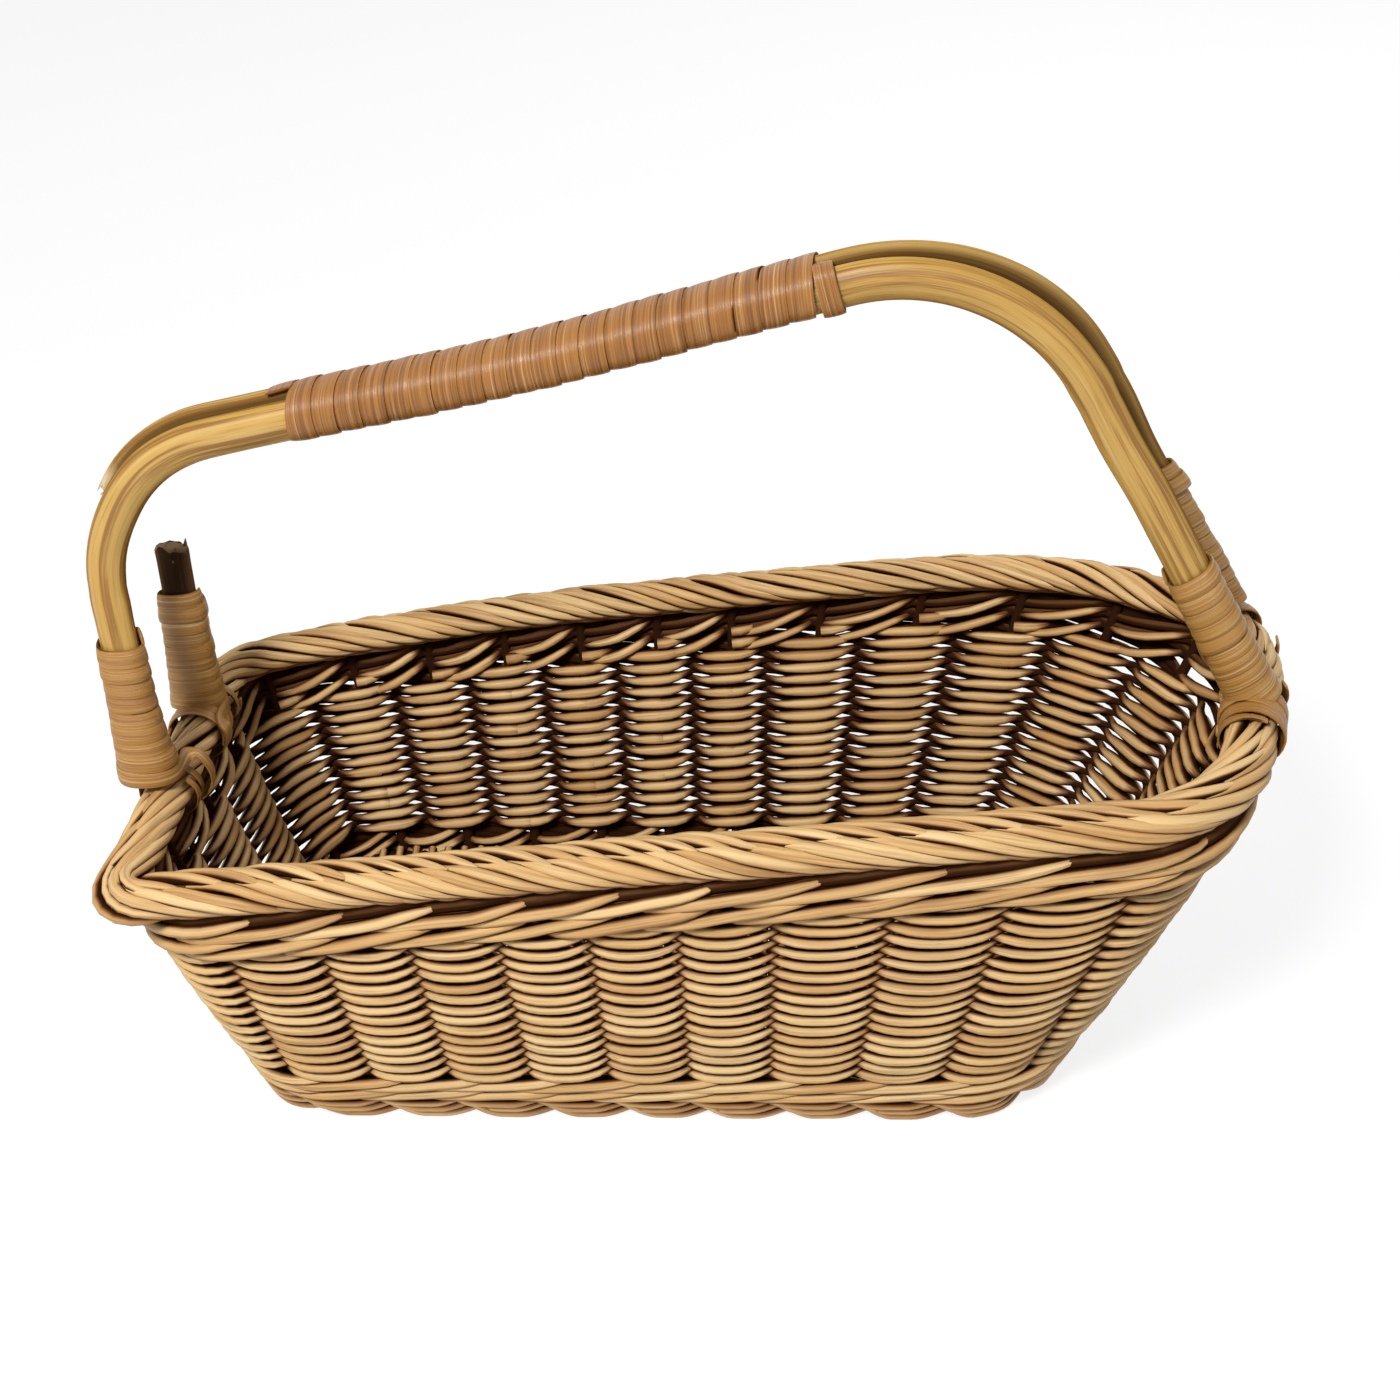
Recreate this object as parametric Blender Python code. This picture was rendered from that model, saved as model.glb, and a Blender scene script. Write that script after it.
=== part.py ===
"""Small oblong wicker cradle basket with an arched two-cane handle.

Metres, +Z up, X along the basket, the low end at -X. The handle's rear cane is snapped
at the low end, so its lower part stands there as a bound stub.
"""
import bpy
import bmesh
from math import atan2, cos, pi, radians, sin, sqrt, tan
from mathutils import Matrix, Vector

# Plan of the wall's middle at the floor; a corner is a run of bends, as radius and degrees
BASE_LOW_END = -0.1100
BASE_HIGH_END = 0.1085
BASE_WIDTH = 0.104
BASE_LOW_CORNER = ((0.020, 90),)
BASE_HIGH_CORNER = ((0.030, 90),)

# Centreline of the rim border: longer than the base, and higher at the +X end. In its
# corners a straight is a length with no degrees
RIM_LOW_END = -0.1326
RIM_HIGH_END = 0.1612
RIM_WIDTH = 0.1266
RIM_REARWARD = 0.0006
RIM_HIGH_FRONT_CORNER = ((0.036, 77), (0.034, 0), (0.020, 13))
RIM_HIGH_REAR_CORNER = ((0.040, 50), (0.014, 0), (0.060, 20), (0.150, 20))
RIM_LOW_REAR_CORNER = ((0.450, 14), (0.016, 76))
RIM_LOW_FRONT_CORNER = ((0.008, 90),)
WALL_HIGH_FRONT_CORNER = ((0.026, 77), (0.042, 0), (0.020, 13))
WALL_LOW_FRONT_CORNER = ((0.020, 90),)
RIM_LOW_HEIGHT = 0.083
RIM_HIGH_HEIGHT = 0.1095
WALL_BELLY = 0.0025

# Stakes: upright at the middle of each side, fanned out towards the ends of the rim
STAKE_COUNT = 28
STAKE_DIAMETER = 0.0032
STAKE_PHASE = -0.0025
FAN_START = 0.026
FAN_START_SHIFT = 0.0015
FAN_LOW_END = 0.0332
FAN_HIGH_END = 0.0590

# Woven bands: wall thickness on each side of the stakes, rows, and heights
WEAVE_OUT = 0.0042
WEAVE_IN = 0.0034
WEAVE_HOLLOW = 0.0022
WEAVE_ROW_COUNT = 13
WEAVE_DIP = 0.0016
WALE_PROUD = 0.0005
LOWER_WALE_ROW_COUNT = 2
LOWER_WALE_HEIGHT = 0.0080
UPPER_WALE_ROW_COUNT = 3
UPPER_WALE_HEIGHT = 0.0116
FOOT_HEIGHT = 0.0066
FOOT_WIDTH = 0.0092
FOOT_OUTSET = 0.0008
FOOT_FLAT = 0.0046
FOOT_STRAND_COUNT = 3
FOOT_LOW_SHARE = 0.30
FOOT_OUTER_SHARE = 0.68
FOOT_INNER_SHARE = 0.62

# Rolled border: strands laid diagonally round a roll, one strand step for each stake
BORDER_WIDTH = 0.0134
BORDER_HEIGHT = 0.0120
BORDER_STRAND_COUNT = 5
BORDER_SLIT = 0.0022
STRAND_RELIEF = 0.075

# Woven base and its lengthwise sticks
BASE_THICKNESS = 0.0036
STICK_DIAMETER = 0.0050
STICK_COUNT = 5
STICK_EDGE = 0.0160
STICK_DEPTH = 0.0010
STICK_CLEARANCE = 0.0012
RIDGE_DIAMETER = 0.0046
RIDGE_RISE = 0.0017
STICK_SIDES = 10

# Handle: one arch in the XZ plane, followed by two canes of flattened section
CANE_WIDTH = 0.0104
CANE_OUTER_DEPTH = 0.0039
CANE_INNER_DEPTH = 0.0022
GRIP_START = (-0.0885, 0.1881)
GRIP_END = (0.0525, 0.2203)
GRIP_SAG = 0.0018
LOW_FOOT_OUTSET = 0.0022
HIGH_FOOT_INSET = 0.0024
LOW_LEG_LEAN = 0.085
HIGH_LEG_LEAN = 0.545
LOW_BEND_RADIUS = 0.042
HIGH_BEND_RADIUS = 0.053
LEG_SPACING = 0.0380
LOW_SPREAD_LENGTH = 0.090
SPREAD_AFTER_GRIP = 0.0020
SNAP_ANGLE = 38.0
SNAP_DEPTH = 0.0040
SNAP_LEVELS = (0, 5, 2, 7, 4, 1, 6, 3)
STUB_HEIGHT = 0.058
STUB_WIDTH = 0.0094
STUB_OUTSET = 0.0008
STUB_LEAN = 0.042
TANG_WIDTH = 0.0050
TANG_DEPTH = 0.0046
SHOULDER_RISE = 0.0027
TANG_BOTTOM = 0.0010
SHOULDER_STEP = 0.0008
SOCKET_OVERCUT = 0.0020

# Flat peel strips that bind the grip and the feet of the handle
STRIP_THICKNESS = 0.0008
GRIP_STRIP_WIDTH = 0.0055
GRIP_TURNS = 22
LEG_STRIP_WIDTH = 0.0047
LEG_PITCH = 0.0052
WRAP_RISE = 0.0013
LOW_FRONT_TURNS = 7
LOW_REAR_TURNS = 6
HIGH_FRONT_TURNS = 7
HIGH_REAR_TURNS = 10
TIE_RUN = 0.0052
TIE_BEND = 0.0030
TIE_END_ANGLE = 200.0
TIE_RUN_STEPS = 2
TIE_BEND_STEPS = 4
TIE_LOOP_STEPS = 12

CLEARANCE = 0.0003
STRIP_CLEARANCE = 0.0005

GRIP_LOOP_POINTS = 12
LEG_LOOP_POINTS = 8
LOOP_SQUARENESS = 2.3
BORDER_STATIONS = 3
FOOT_STATIONS = 3
CANE_SECTION_POINTS = 8
CANE_BEND_STEPS = 9
CANE_LINE_STEPS = 5
NEAREST_STEPS = 600
STAKE_SIDES = 6
SMOOTH_ANGLE = 40.0

REED = ("reed", (0.62, 0.42, 0.24), 0.62)
CANE = ("cane", (0.66, 0.46, 0.20), 0.42)
PEEL = ("peel", (0.50, 0.27, 0.12), 0.38)
OLD_CANE = ("old_cane", (0.16, 0.10, 0.06), 0.80)


def clear_scene():
    for item in list(bpy.data.objects):
        bpy.data.objects.remove(item, do_unlink=True)


def material(spec):
    name, colour, roughness = spec
    found = bpy.data.materials.get(name)
    if found:
        return found
    made = bpy.data.materials.new(name)
    made.use_nodes = True
    shader = made.node_tree.nodes["Principled BSDF"]
    shader.inputs["Base Color"].default_value = (*colour, 1.0)
    shader.inputs["Roughness"].default_value = roughness
    shader.inputs["Metallic"].default_value = 0.0
    return made


def add_object(name, data, spec, root):
    item = bpy.data.objects.new(name, data)
    bpy.context.scene.collection.objects.link(item)
    item.data.materials.append(material(spec))
    item.parent = root
    return item


def add_mesh(name, verts, faces, spec, root):
    mesh = bpy.data.meshes.new(name)
    mesh.from_pydata(verts, [], faces)
    work = bmesh.new()
    work.from_mesh(mesh)
    bmesh.ops.recalc_face_normals(work, faces=work.faces)
    work.to_mesh(mesh)
    work.free()
    mesh.shade_smooth()
    mesh.set_sharp_from_angle(angle=radians(SMOOTH_ANGLE))
    return add_object(name, mesh, spec, root)


def lerp(a, b, t):
    return a + (b - a) * t


class Outline:
    """A rounded outline, walked counter-clockwise from x = 0 on its front side.

    Its corners come in walking order: high front, high rear, low rear, low front.
    """

    def __init__(self, x_low, x_high, width, rearward, corners):
        half = width / 2
        high_front, high_rear, low_rear, low_front = corners
        reach = [corner_reach(corner) for corner in corners]
        self.runs = []
        self.length = 0.0
        self.place = Vector((0.0, rearward - half))
        self.heading = 0.0
        self._add(((x_high - reach[0].x, 0), *high_front))
        self.high_middle = self.length + half - rearward - reach[0].y
        self._add(((width - reach[0].y - reach[1].x, 0), *high_rear))
        self.rear_middle = self.length + x_high - reach[1].y
        self._add(((x_high - reach[1].y - x_low - reach[2].x, 0), *low_rear))
        self.low_middle = self.length + half + rearward - reach[2].y
        self._add(((width - reach[2].y - reach[3].x, 0), *low_front))
        self._add(((-x_low - reach[3].y, 0),))

    def _add(self, steps):
        for size, degrees in steps:
            radius = size if degrees else 0.0
            length = size * radians(degrees) if degrees else size
            self.runs.append((self.length, length, self.place, self.heading, radius))
            self.place = walk(self.place, self.heading, length, radius)
            self.heading += radians(degrees)
            self.length += length

    def at(self, distance):
        """Point and outward normal, in plan, at a distance along the outline."""
        distance %= self.length
        for begin, length, place, heading, radius in self.runs:
            if distance <= begin + length:
                break
        along = distance - begin
        turned = heading + (along / radius if radius else 0.0)
        return walk(place, heading, along, radius), Vector((sin(turned), -cos(turned)))


def walk(place, heading, along, radius):
    """Where a walk ends, straight on or turning left at a radius."""
    if not radius:
        return place + Vector((cos(heading), sin(heading))) * along
    turned = heading + along / radius
    swing = Vector((sin(turned) - sin(heading), cos(heading) - cos(turned)))
    return place + swing * radius


def corner_reach(corner):
    """How far a corner carries the outline forward and to the left."""
    place, heading = Vector((0.0, 0.0)), 0.0
    for size, degrees in corner:
        length = size * radians(degrees) if degrees else size
        place = walk(place, heading, length, size if degrees else 0.0)
        heading += radians(degrees)
    return place


base_plan = Outline(BASE_LOW_END, BASE_HIGH_END, BASE_WIDTH, 0.0,
                    (BASE_HIGH_CORNER, BASE_HIGH_CORNER, BASE_LOW_CORNER, BASE_LOW_CORNER))
wall_plan = Outline(RIM_LOW_END, RIM_HIGH_END, RIM_WIDTH, RIM_REARWARD,
                    (WALL_HIGH_FRONT_CORNER, RIM_HIGH_REAR_CORNER,
                     RIM_LOW_REAR_CORNER, WALL_LOW_FRONT_CORNER))
rim_plan = Outline(RIM_LOW_END, RIM_HIGH_END, RIM_WIDTH, RIM_REARWARD,
                   (RIM_HIGH_FRONT_CORNER, RIM_HIGH_REAR_CORNER,
                    RIM_LOW_REAR_CORNER, RIM_LOW_FRONT_CORNER))
STAKE_PITCH = base_plan.length / STAKE_COUNT


def fan_anchors():
    """Pairs of distances, on the base and on the rim, that one straight stake joins."""
    base_high = BASE_HIGH_END - corner_reach(BASE_HIGH_CORNER).x
    base_low = -BASE_LOW_END - corner_reach(BASE_LOW_CORNER).x
    rim_high = RIM_HIGH_END - FAN_HIGH_END
    rim_low = -RIM_LOW_END - FAN_LOW_END
    rim_start = FAN_START + FAN_START_SHIFT
    base, rim = base_plan, wall_plan
    return [
        (0.0, 0.0),
        (FAN_START, rim_start),
        (base_high, rim_high),
        (base.high_middle, rim.high_middle),
        (base.rear_middle - base_high, rim.rear_middle - rim_high),
        (base.rear_middle - FAN_START, rim.rear_middle - rim_start),
        (base.rear_middle, rim.rear_middle),
        (base.rear_middle + base_low, rim.rear_middle + rim_low),
        (base.low_middle, rim.low_middle),
        (base.length - base_low, rim.length - rim_low),
        (base.length, rim.length),
    ]


FAN = fan_anchors()


def rim_distance(base_distance):
    base_distance %= base_plan.length
    for (b0, r0), (b1, r1) in zip(FAN, FAN[1:]):
        if base_distance <= b1:
            return lerp(r0, r1, (base_distance - b0) / (b1 - b0))
    return wall_plan.length


def rim_height(x):
    run = (x - RIM_LOW_END) / (RIM_HIGH_END - RIM_LOW_END)
    return lerp(RIM_LOW_HEIGHT, RIM_HIGH_HEIGHT, run)


BORDER_REACH_X = BORDER_WIDTH / 2 * (1 + STRAND_RELIEF)
BORDER_REACH_Z = BORDER_HEIGHT / 2 * (1 + STRAND_RELIEF)


def border_under(z):
    """Lowest level of the border where its centre is at z."""
    return z - BORDER_REACH_Z


def wall_frame(distance, height, offset=0.0):
    """Point of the wall's middle surface at a floor height, and its plan normal."""
    low, low_normal = base_plan.at(distance)
    high, high_normal = wall_plan.at(rim_distance(distance))
    top = rim_height(high.x)
    share = height(top) / top
    normal = lerp(low_normal, high_normal, share).normalized()
    # A parabola that is 1 halfway up
    belly = WALL_BELLY * 4 * share * (1 - share)
    plan = lerp(low, high, share) + normal * (belly + offset)
    return Vector((plan.x, plan.y, height(top))), Vector((normal.x, normal.y, 0.0))


def above_floor(z):
    return lambda top: z


def below_border(drop):
    return lambda top: border_under(top) - drop


def between(low, high, share):
    return lambda top: lerp(low(top), high(top), share)


FOOT_TOP = above_floor(FOOT_HEIGHT + CLEARANCE)
LOWER_WALE_TOP = above_floor(FOOT_HEIGHT + CLEARANCE + LOWER_WALE_HEIGHT)
WEAVE_BOTTOM = above_floor(FOOT_HEIGHT + 2 * CLEARANCE + LOWER_WALE_HEIGHT)
WEAVE_TOP = below_border(BORDER_SLIT + UPPER_WALE_HEIGHT + CLEARANCE)
WEAVE_MIDDLE = between(WEAVE_BOTTOM, WEAVE_TOP, 0.5)
UPPER_WALE_BOTTOM = below_border(BORDER_SLIT + UPPER_WALE_HEIGHT)
UPPER_WALE_TOP = below_border(BORDER_SLIT)
STAKE_TOP = below_border(CLEARANCE)


# Columns of a band's outer face at each stake: place along the pitch, depth, rise in rows
PAIRING = ((-0.40, 0.45, -0.30), (-0.02, 1.0, -0.12), (0.38, 0.75, 0.34))
WALING = ((-0.42, 0.55, -0.45), (0.0, 1.0, 0.0), (0.42, 0.55, 0.45))


def woven_band(name, levels, rows, strokes, proud, hollow, root):
    """A band of weaving: its rows swell out over the stakes and it is slotted for them.

    levels are the heights of the rings of its inner face, from its bottom to its top. This
    face is hollow between the stakes.
    """
    channel = STAKE_DIAMETER / 2 + CLEARANCE
    half = STAKE_PITCH / 2
    inside = [(-half, hollow - WEAVE_IN), (-channel, -WEAVE_IN), (-channel, channel),
              (channel, channel), (channel, -WEAVE_IN)]
    verts = []
    for level in range(2 * rows + 1):
        crest = level % 2 == 1
        edge = level in (0, 2 * rows)
        for stake in range(STAKE_COUNT):
            middle = STAKE_PHASE + stake * STAKE_PITCH
            for along, depth, rise in strokes:
                share = level / (2 * rows) + (0.0 if edge else rise / rows)
                reach = WEAVE_OUT + proud - WEAVE_DIP * (1 - depth)
                reach -= 0.0 if crest else WEAVE_DIP
                place = between(levels[0], levels[-1], share)
                verts.append(wall_frame(middle + along * STAKE_PITCH, place, reach)[0])
    wide = STAKE_COUNT * len(strokes)
    faces = []
    for row in range(2 * rows):
        for i in range(wide):
            a, b = row * wide + i, row * wide + (i + 1) % wide
            faces.append((a, b, b + wide, a + wide))

    first = len(verts)
    for level in levels:
        for stake in range(STAKE_COUNT):
            middle = STAKE_PHASE + stake * STAKE_PITCH
            point, normal = wall_frame(middle, level)
            side = Vector((-normal.y, normal.x, 0.0))
            for along, depth in inside:
                if abs(along) > channel:
                    verts.append(wall_frame(middle + along, level, depth)[0])
                else:
                    verts.append(point + side * along + normal * depth)
    narrow = STAKE_COUNT * len(inside)
    for row in range(len(levels) - 1):
        for i in range(narrow):
            a, b = first + row * narrow + i, first + row * narrow + (i + 1) % narrow
            faces.append((b, a, a + narrow, b + narrow))

    outer_top, inner_top = 2 * rows * wide, first + (len(levels) - 1) * narrow
    for outer, inner, flip in ((0, first, True), (outer_top, inner_top, False)):
        for stake in range(STAKE_COUNT):
            o0, o1, o2 = (outer + stake * len(strokes) + k for k in range(3))
            i0, a, b, c, d = (inner + stake * len(inside) + k for k in range(5))
            o3 = outer + (stake + 1) * len(strokes) % wide
            i3 = inner + (stake + 1) * len(inside) % narrow
            caps = [(o0, o1, b), (o0, b, a, i0), (o1, c, b), (o1, o2, c),
                    (o2, d, c), (o2, o3, i3, d)]
            faces += [tuple(reversed(face)) if flip else face for face in caps]
    return add_mesh(name, verts, faces, REED, root)


def make_stakes(root):
    levels = (FOOT_TOP, LOWER_WALE_TOP, WEAVE_MIDDLE, UPPER_WALE_BOTTOM, STAKE_TOP)
    angles = [2 * pi * j / STAKE_SIDES for j in range(STAKE_SIDES)]
    for number in range(STAKE_COUNT):
        distance = STAKE_PHASE + number * STAKE_PITCH
        rings = []
        for level in levels:
            centre, normal = wall_frame(distance, level)
            side = Vector((-normal.y, normal.x, 0.0)) * (STAKE_DIAMETER / 2)
            out = normal * (STAKE_DIAMETER / 2)
            rings.append([centre + out * cos(angle) + side * sin(angle) for angle in angles])
        swept(f"stake_{number + 1:02d}", rings, REED, root)


def rolled_ring(name, stations, section, shift, spec, root):
    """Closed tube through rings of equal counts; shift turns the last ring to the first."""
    size = len(section(0))
    verts = [point for i in range(stations) for point in section(i)]
    faces = []
    for i in range(stations):
        turn = shift if i == stations - 1 else 0
        for j in range(size):
            k = (j + 1) % size
            near, far = i * size, ((i + 1) % stations) * size
            faces.append((near + j, near + k, far + (k + turn) % size, far + (j + turn) % size))
    return add_mesh(name, verts, faces, spec, root)


def make_foot_border(root):
    """Foot border: strands laid over each other, worn flat where they meet the table."""
    stations = STAKE_COUNT * FOOT_STATIONS
    half = FOOT_WIDTH / 2
    # Each corner: distance outwards, height, and how much the strands swell it
    corners = [
        (FOOT_FLAT / 2, 0.0, 0.0),
        (half, FOOT_HEIGHT * FOOT_LOW_SHARE, 1.0),
        (half, FOOT_HEIGHT * FOOT_OUTER_SHARE, 1.0),
        (FOOT_FLAT / 2, FOOT_HEIGHT, 0.0),
        (-FOOT_FLAT / 2, FOOT_HEIGHT, 0.0),
        (-half, FOOT_HEIGHT * FOOT_INNER_SHARE, 1.0),
        (-half, FOOT_HEIGHT * FOOT_LOW_SHARE, 1.0),
        (-FOOT_FLAT / 2, 0.0, 0.0),
    ]

    def section(i):
        distance = STAKE_PHASE + i * STAKE_PITCH / FOOT_STATIONS
        ring = []
        for out, z, swell in corners:
            turn = atan2(z - FOOT_HEIGHT / 2, out) * FOOT_STRAND_COUNT - 2 * pi * i / FOOT_STATIONS
            relief = swell * STRAND_RELIEF * half * cos(turn)
            reach = out + FOOT_OUTSET + (relief if out > 0 else -relief)
            ring.append(wall_frame(distance, above_floor(z), reach)[0])
        return ring

    return rolled_ring("foot_border", stations, section, 0, REED, root)


def make_rim_border(root):
    """Rolled border: its strands wind round the roll by one strand step at each stake."""
    points = 2 * BORDER_STRAND_COUNT
    stations = STAKE_COUNT * BORDER_STATIONS
    step = 2 * pi / BORDER_STRAND_COUNT / BORDER_STATIONS
    stretch = rim_plan.length / wall_plan.length

    def section(i):
        base = STAKE_PHASE + i * base_plan.length / stations
        plan, facing = rim_plan.at(rim_distance(base) * stretch)
        centre = Vector((plan.x, plan.y, rim_height(plan.x)))
        normal = Vector((facing.x, facing.y, 0.0))
        ring = []
        for j in range(points):
            angle = 2 * pi * j / points - i * step
            reach = 1 + (STRAND_RELIEF if j % 2 == 0 else -STRAND_RELIEF)
            out = normal * (cos(angle) * reach * BORDER_WIDTH / 2)
            up = Vector((0.0, 0.0, sin(angle) * reach * BORDER_HEIGHT / 2))
            ring.append(centre + out + up)
        return ring

    return rolled_ring("rim_border", stations, section, -2 * STAKE_COUNT % points, REED, root)


def make_base(root):
    """Woven base panel inside the lower wale: it rises over the sticks let in below."""
    bottom = FOOT_HEIGHT + CLEARANCE
    top = bottom + BASE_THICKNESS
    channel = STAKE_DIAMETER / 2 + CLEARANCE
    edge = []
    for stake in range(STAKE_COUNT):
        middle = STAKE_PHASE + stake * STAKE_PITCH
        for along in (-STAKE_PITCH / 2, -channel, channel):
            spot = wall_frame(middle + along, above_floor(bottom), -WEAVE_IN - CLEARANCE)
            edge.append(spot[0])
    work = bmesh.new()
    rim = [work.verts.new(point) for point in edge]
    face = work.faces.new(rim)
    grown = bmesh.ops.extrude_face_region(work, geom=[face])
    lifted = [item for item in grown["geom"] if isinstance(item, bmesh.types.BMVert)]
    bmesh.ops.translate(work, verts=lifted, vec=(0.0, 0.0, top - bottom))
    bmesh.ops.recalc_face_normals(work, faces=work.faces)
    mesh = bpy.data.meshes.new("base_panel")
    work.to_mesh(mesh)
    work.free()
    panel = add_object("base_panel", mesh, REED, root)

    inset = FOOT_WIDTH / 2 * (1 + STRAND_RELIEF) + FOOT_OUTSET + STICK_CLEARANCE
    length = BASE_HIGH_END - BASE_LOW_END - 2 * inset
    centre_x = (BASE_HIGH_END + BASE_LOW_END) / 2
    centre_z = bottom + STICK_DEPTH
    pitch = (BASE_WIDTH - 2 * STICK_EDGE) / (STICK_COUNT - 1)
    for number in range(STICK_COUNT):
        y = (number - (STICK_COUNT - 1) / 2) * pitch
        ridge = stick_mesh("ridge", RIDGE_DIAMETER / 2, length + 2 * STICK_CLEARANCE)
        cutter = stick_mesh("cutter_stick", STICK_DIAMETER / 2 + CLEARANCE, length + STICK_CLEARANCE)
        steps = (("ridge", ridge, RIDGE_RISE, "UNION"), ("cutter_stick", cutter, 0.0, "DIFFERENCE"))
        for label, shape, rise, operation in steps:
            tool = add_object(f"{label}_{number + 1}", shape, REED, root)
            tool.location = (centre_x, y, centre_z + rise)
            tool.hide_render = True
            tool.display_type = "WIRE"
            change = panel.modifiers.new(f"{label}_{number + 1}", "BOOLEAN")
            change.object = tool
            change.operation = operation
        stick = stick_mesh(f"base_stick_{number + 1}", STICK_DIAMETER / 2, length)
        item = add_object(f"base_stick_{number + 1}", stick, REED, root)
        item.location = (centre_x, y, centre_z)


def stick_mesh(name, radius, length):
    """A round rod along X, centred on its own origin."""
    work = bmesh.new()
    bmesh.ops.create_cone(work, cap_ends=True, segments=STICK_SIDES, radius1=radius,
                          radius2=radius, depth=length)
    bmesh.ops.rotate(work, verts=work.verts, matrix=Matrix.Rotation(pi / 2, 3, "Y"))
    mesh = bpy.data.meshes.new(name)
    work.to_mesh(mesh)
    work.free()
    return mesh


class Arch:
    """The handle's route in the XZ plane: leg, bend, grip, bend, leg."""

    def __init__(self):
        start, end = Vector(GRIP_START), Vector(GRIP_END)
        grip = (end - start).normalized()
        low_foot = Vector((RIM_LOW_END - LOW_FOOT_OUTSET, RIM_LOW_HEIGHT))
        high_foot = Vector((RIM_HIGH_END - HIGH_FOOT_INSET, RIM_HIGH_HEIGHT))
        low_up = Vector((-LOW_LEG_LEAN, 1.0)).normalized()
        high_down = Vector((HIGH_LEG_LEAN, -1.0)).normalized()
        low_knee = crossing(low_foot, low_up, start, grip)
        high_knee = crossing(high_foot, high_down, start, grip)
        self.runs = []
        self.length = 0.0
        low_cut = tangent_length(low_up, grip, LOW_BEND_RADIUS)
        high_cut = tangent_length(grip, high_down, HIGH_BEND_RADIUS)
        self._line(low_foot, low_knee - low_up * low_cut)
        self._bend(low_knee - low_up * low_cut, low_up, grip, LOW_BEND_RADIUS)
        self.low_bend = self.runs[-1]
        self._line(low_knee + grip * low_cut, high_knee - grip * high_cut)
        self.grip_line = self.runs[-1]
        self._bend(high_knee - grip * high_cut, grip, high_down, HIGH_BEND_RADIUS)
        self._line(high_knee + high_down * high_cut, high_foot)

    def _line(self, start, end):
        size = (end - start).length
        self.runs.append(("line", self.length, size, start, (end - start) / size, 0.0))
        self.length += size

    def _bend(self, start, heading, target, radius):
        turn = heading.angle(target)
        self.runs.append(("bend", self.length, radius * turn, start, heading, radius))
        self.length += radius * turn

    def at(self, distance):
        """Point and heading; beyond either foot the route runs on straight."""
        run = self.runs[0]
        for run in self.runs:
            if distance <= run[1] + run[2]:
                break
        kind, begin, size, start, heading, radius = run
        along = distance - begin
        if run is self.grip_line:
            share = pi * along / size
            sag = Vector((0.0, GRIP_SAG * sin(share) ** 2))
            fall = Vector((0.0, GRIP_SAG * sin(2 * share) * pi / size))
            return start + heading * along - sag, (heading - fall).normalized()
        if kind == "line":
            return start + heading * along, heading
        # Both bends turn clockwise seen from the front
        side = Vector((heading.y, -heading.x))
        angle = along / radius
        point = start + heading * (radius * sin(angle)) + side * (radius * (1 - cos(angle)))
        return point, heading * cos(angle) + side * sin(angle)

    def nearest(self, place):
        """Distance along the route that lies closest to a place."""
        spots = [self.length * i / NEAREST_STEPS for i in range(NEAREST_STEPS + 1)]
        return min(spots, key=lambda d: (self.at(d)[0] - Vector(place)).length)


def crossing(a, u, b, v):
    cross = u.x * v.y - u.y * v.x
    gap = b - a
    return a + u * ((gap.x * v.y - gap.y * v.x) / cross)


def tangent_length(heading, target, radius):
    return radius * tan(heading.angle(target) / 2)


arch = Arch()
GRIP_FROM = arch.nearest(GRIP_START)
GRIP_TO = arch.nearest(GRIP_END)
CANE_CENTRE = CANE_INNER_DEPTH + CLEARANCE
TANG_SHOULDER = BORDER_REACH_Z + SHOULDER_RISE
WRAP_FOOT = BORDER_REACH_Z + LEG_STRIP_WIDTH / 2 + WRAP_RISE
PROBE = 0.0005


def spread(distance):
    """How far a cane's middle lies from the arch's plane: they part towards the feet."""
    parting = GRIP_TO + SPREAD_AFTER_GRIP
    low = 1 - distance / LOW_SPREAD_LENGTH
    high = (distance - parting) / (arch.length - parting)
    share = min(1.0, max(0.0, low, high))
    return lerp(CANE_CENTRE, LEG_SPACING / 2, share * share * (3 - 2 * share))


def leg_frame(distance, side):
    """Middle of a cane, its heading and the arch's outward normal; side is -1 in front."""
    point, heading = arch.at(distance)
    slope = (spread(distance + PROBE) - spread(distance - PROBE)) / (2 * PROBE)
    centre = Vector((point.x, side * spread(distance), point.y))
    along = Vector((heading.x, side * slope, heading.y)).normalized()
    return centre, along, Vector((-heading.y, 0.0, heading.x))


def cane_ring(centre, normal, side, width, outer, inner, points=CANE_SECTION_POINTS):
    """Split cane's section: full on the outer side, flatter towards the other cane."""
    ring = []
    for j in range(points):
        angle = 2 * pi * j / points
        across = cos(angle) * width / 2
        deep = sin(angle)
        out = deep * (outer if deep > 0 else inner)
        ring.append(centre + normal * across + Vector((0.0, side * out, 0.0)))
    return ring


def low_leg(side):
    """A cane's frame by its height above the border at the low end."""
    return lambda height: leg_frame(height, side)


def high_leg(side):
    """The same at the high end, with its heading turned to point up the leg."""
    def reading(height):
        centre, heading, normal = leg_frame(arch.length - height, side)
        return centre, -heading, normal
    return reading


LOW_FRONT = low_leg(-1)
HIGH_FRONT = high_leg(-1)
HIGH_REAR = high_leg(1)


def swept(name, rings, spec, root):
    size = len(rings[0])
    verts = [point for ring in rings for point in ring]
    faces = [tuple(range(size)), tuple(range(len(verts) - size, len(verts)))]
    for i in range(len(rings) - 1):
        for j in range(size):
            k = (j + 1) % size
            near, far = i * size, (i + 1) * size
            faces.append((near + j, near + k, far + k, far + j))
    return add_mesh(name, verts, faces, spec, root)


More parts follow.
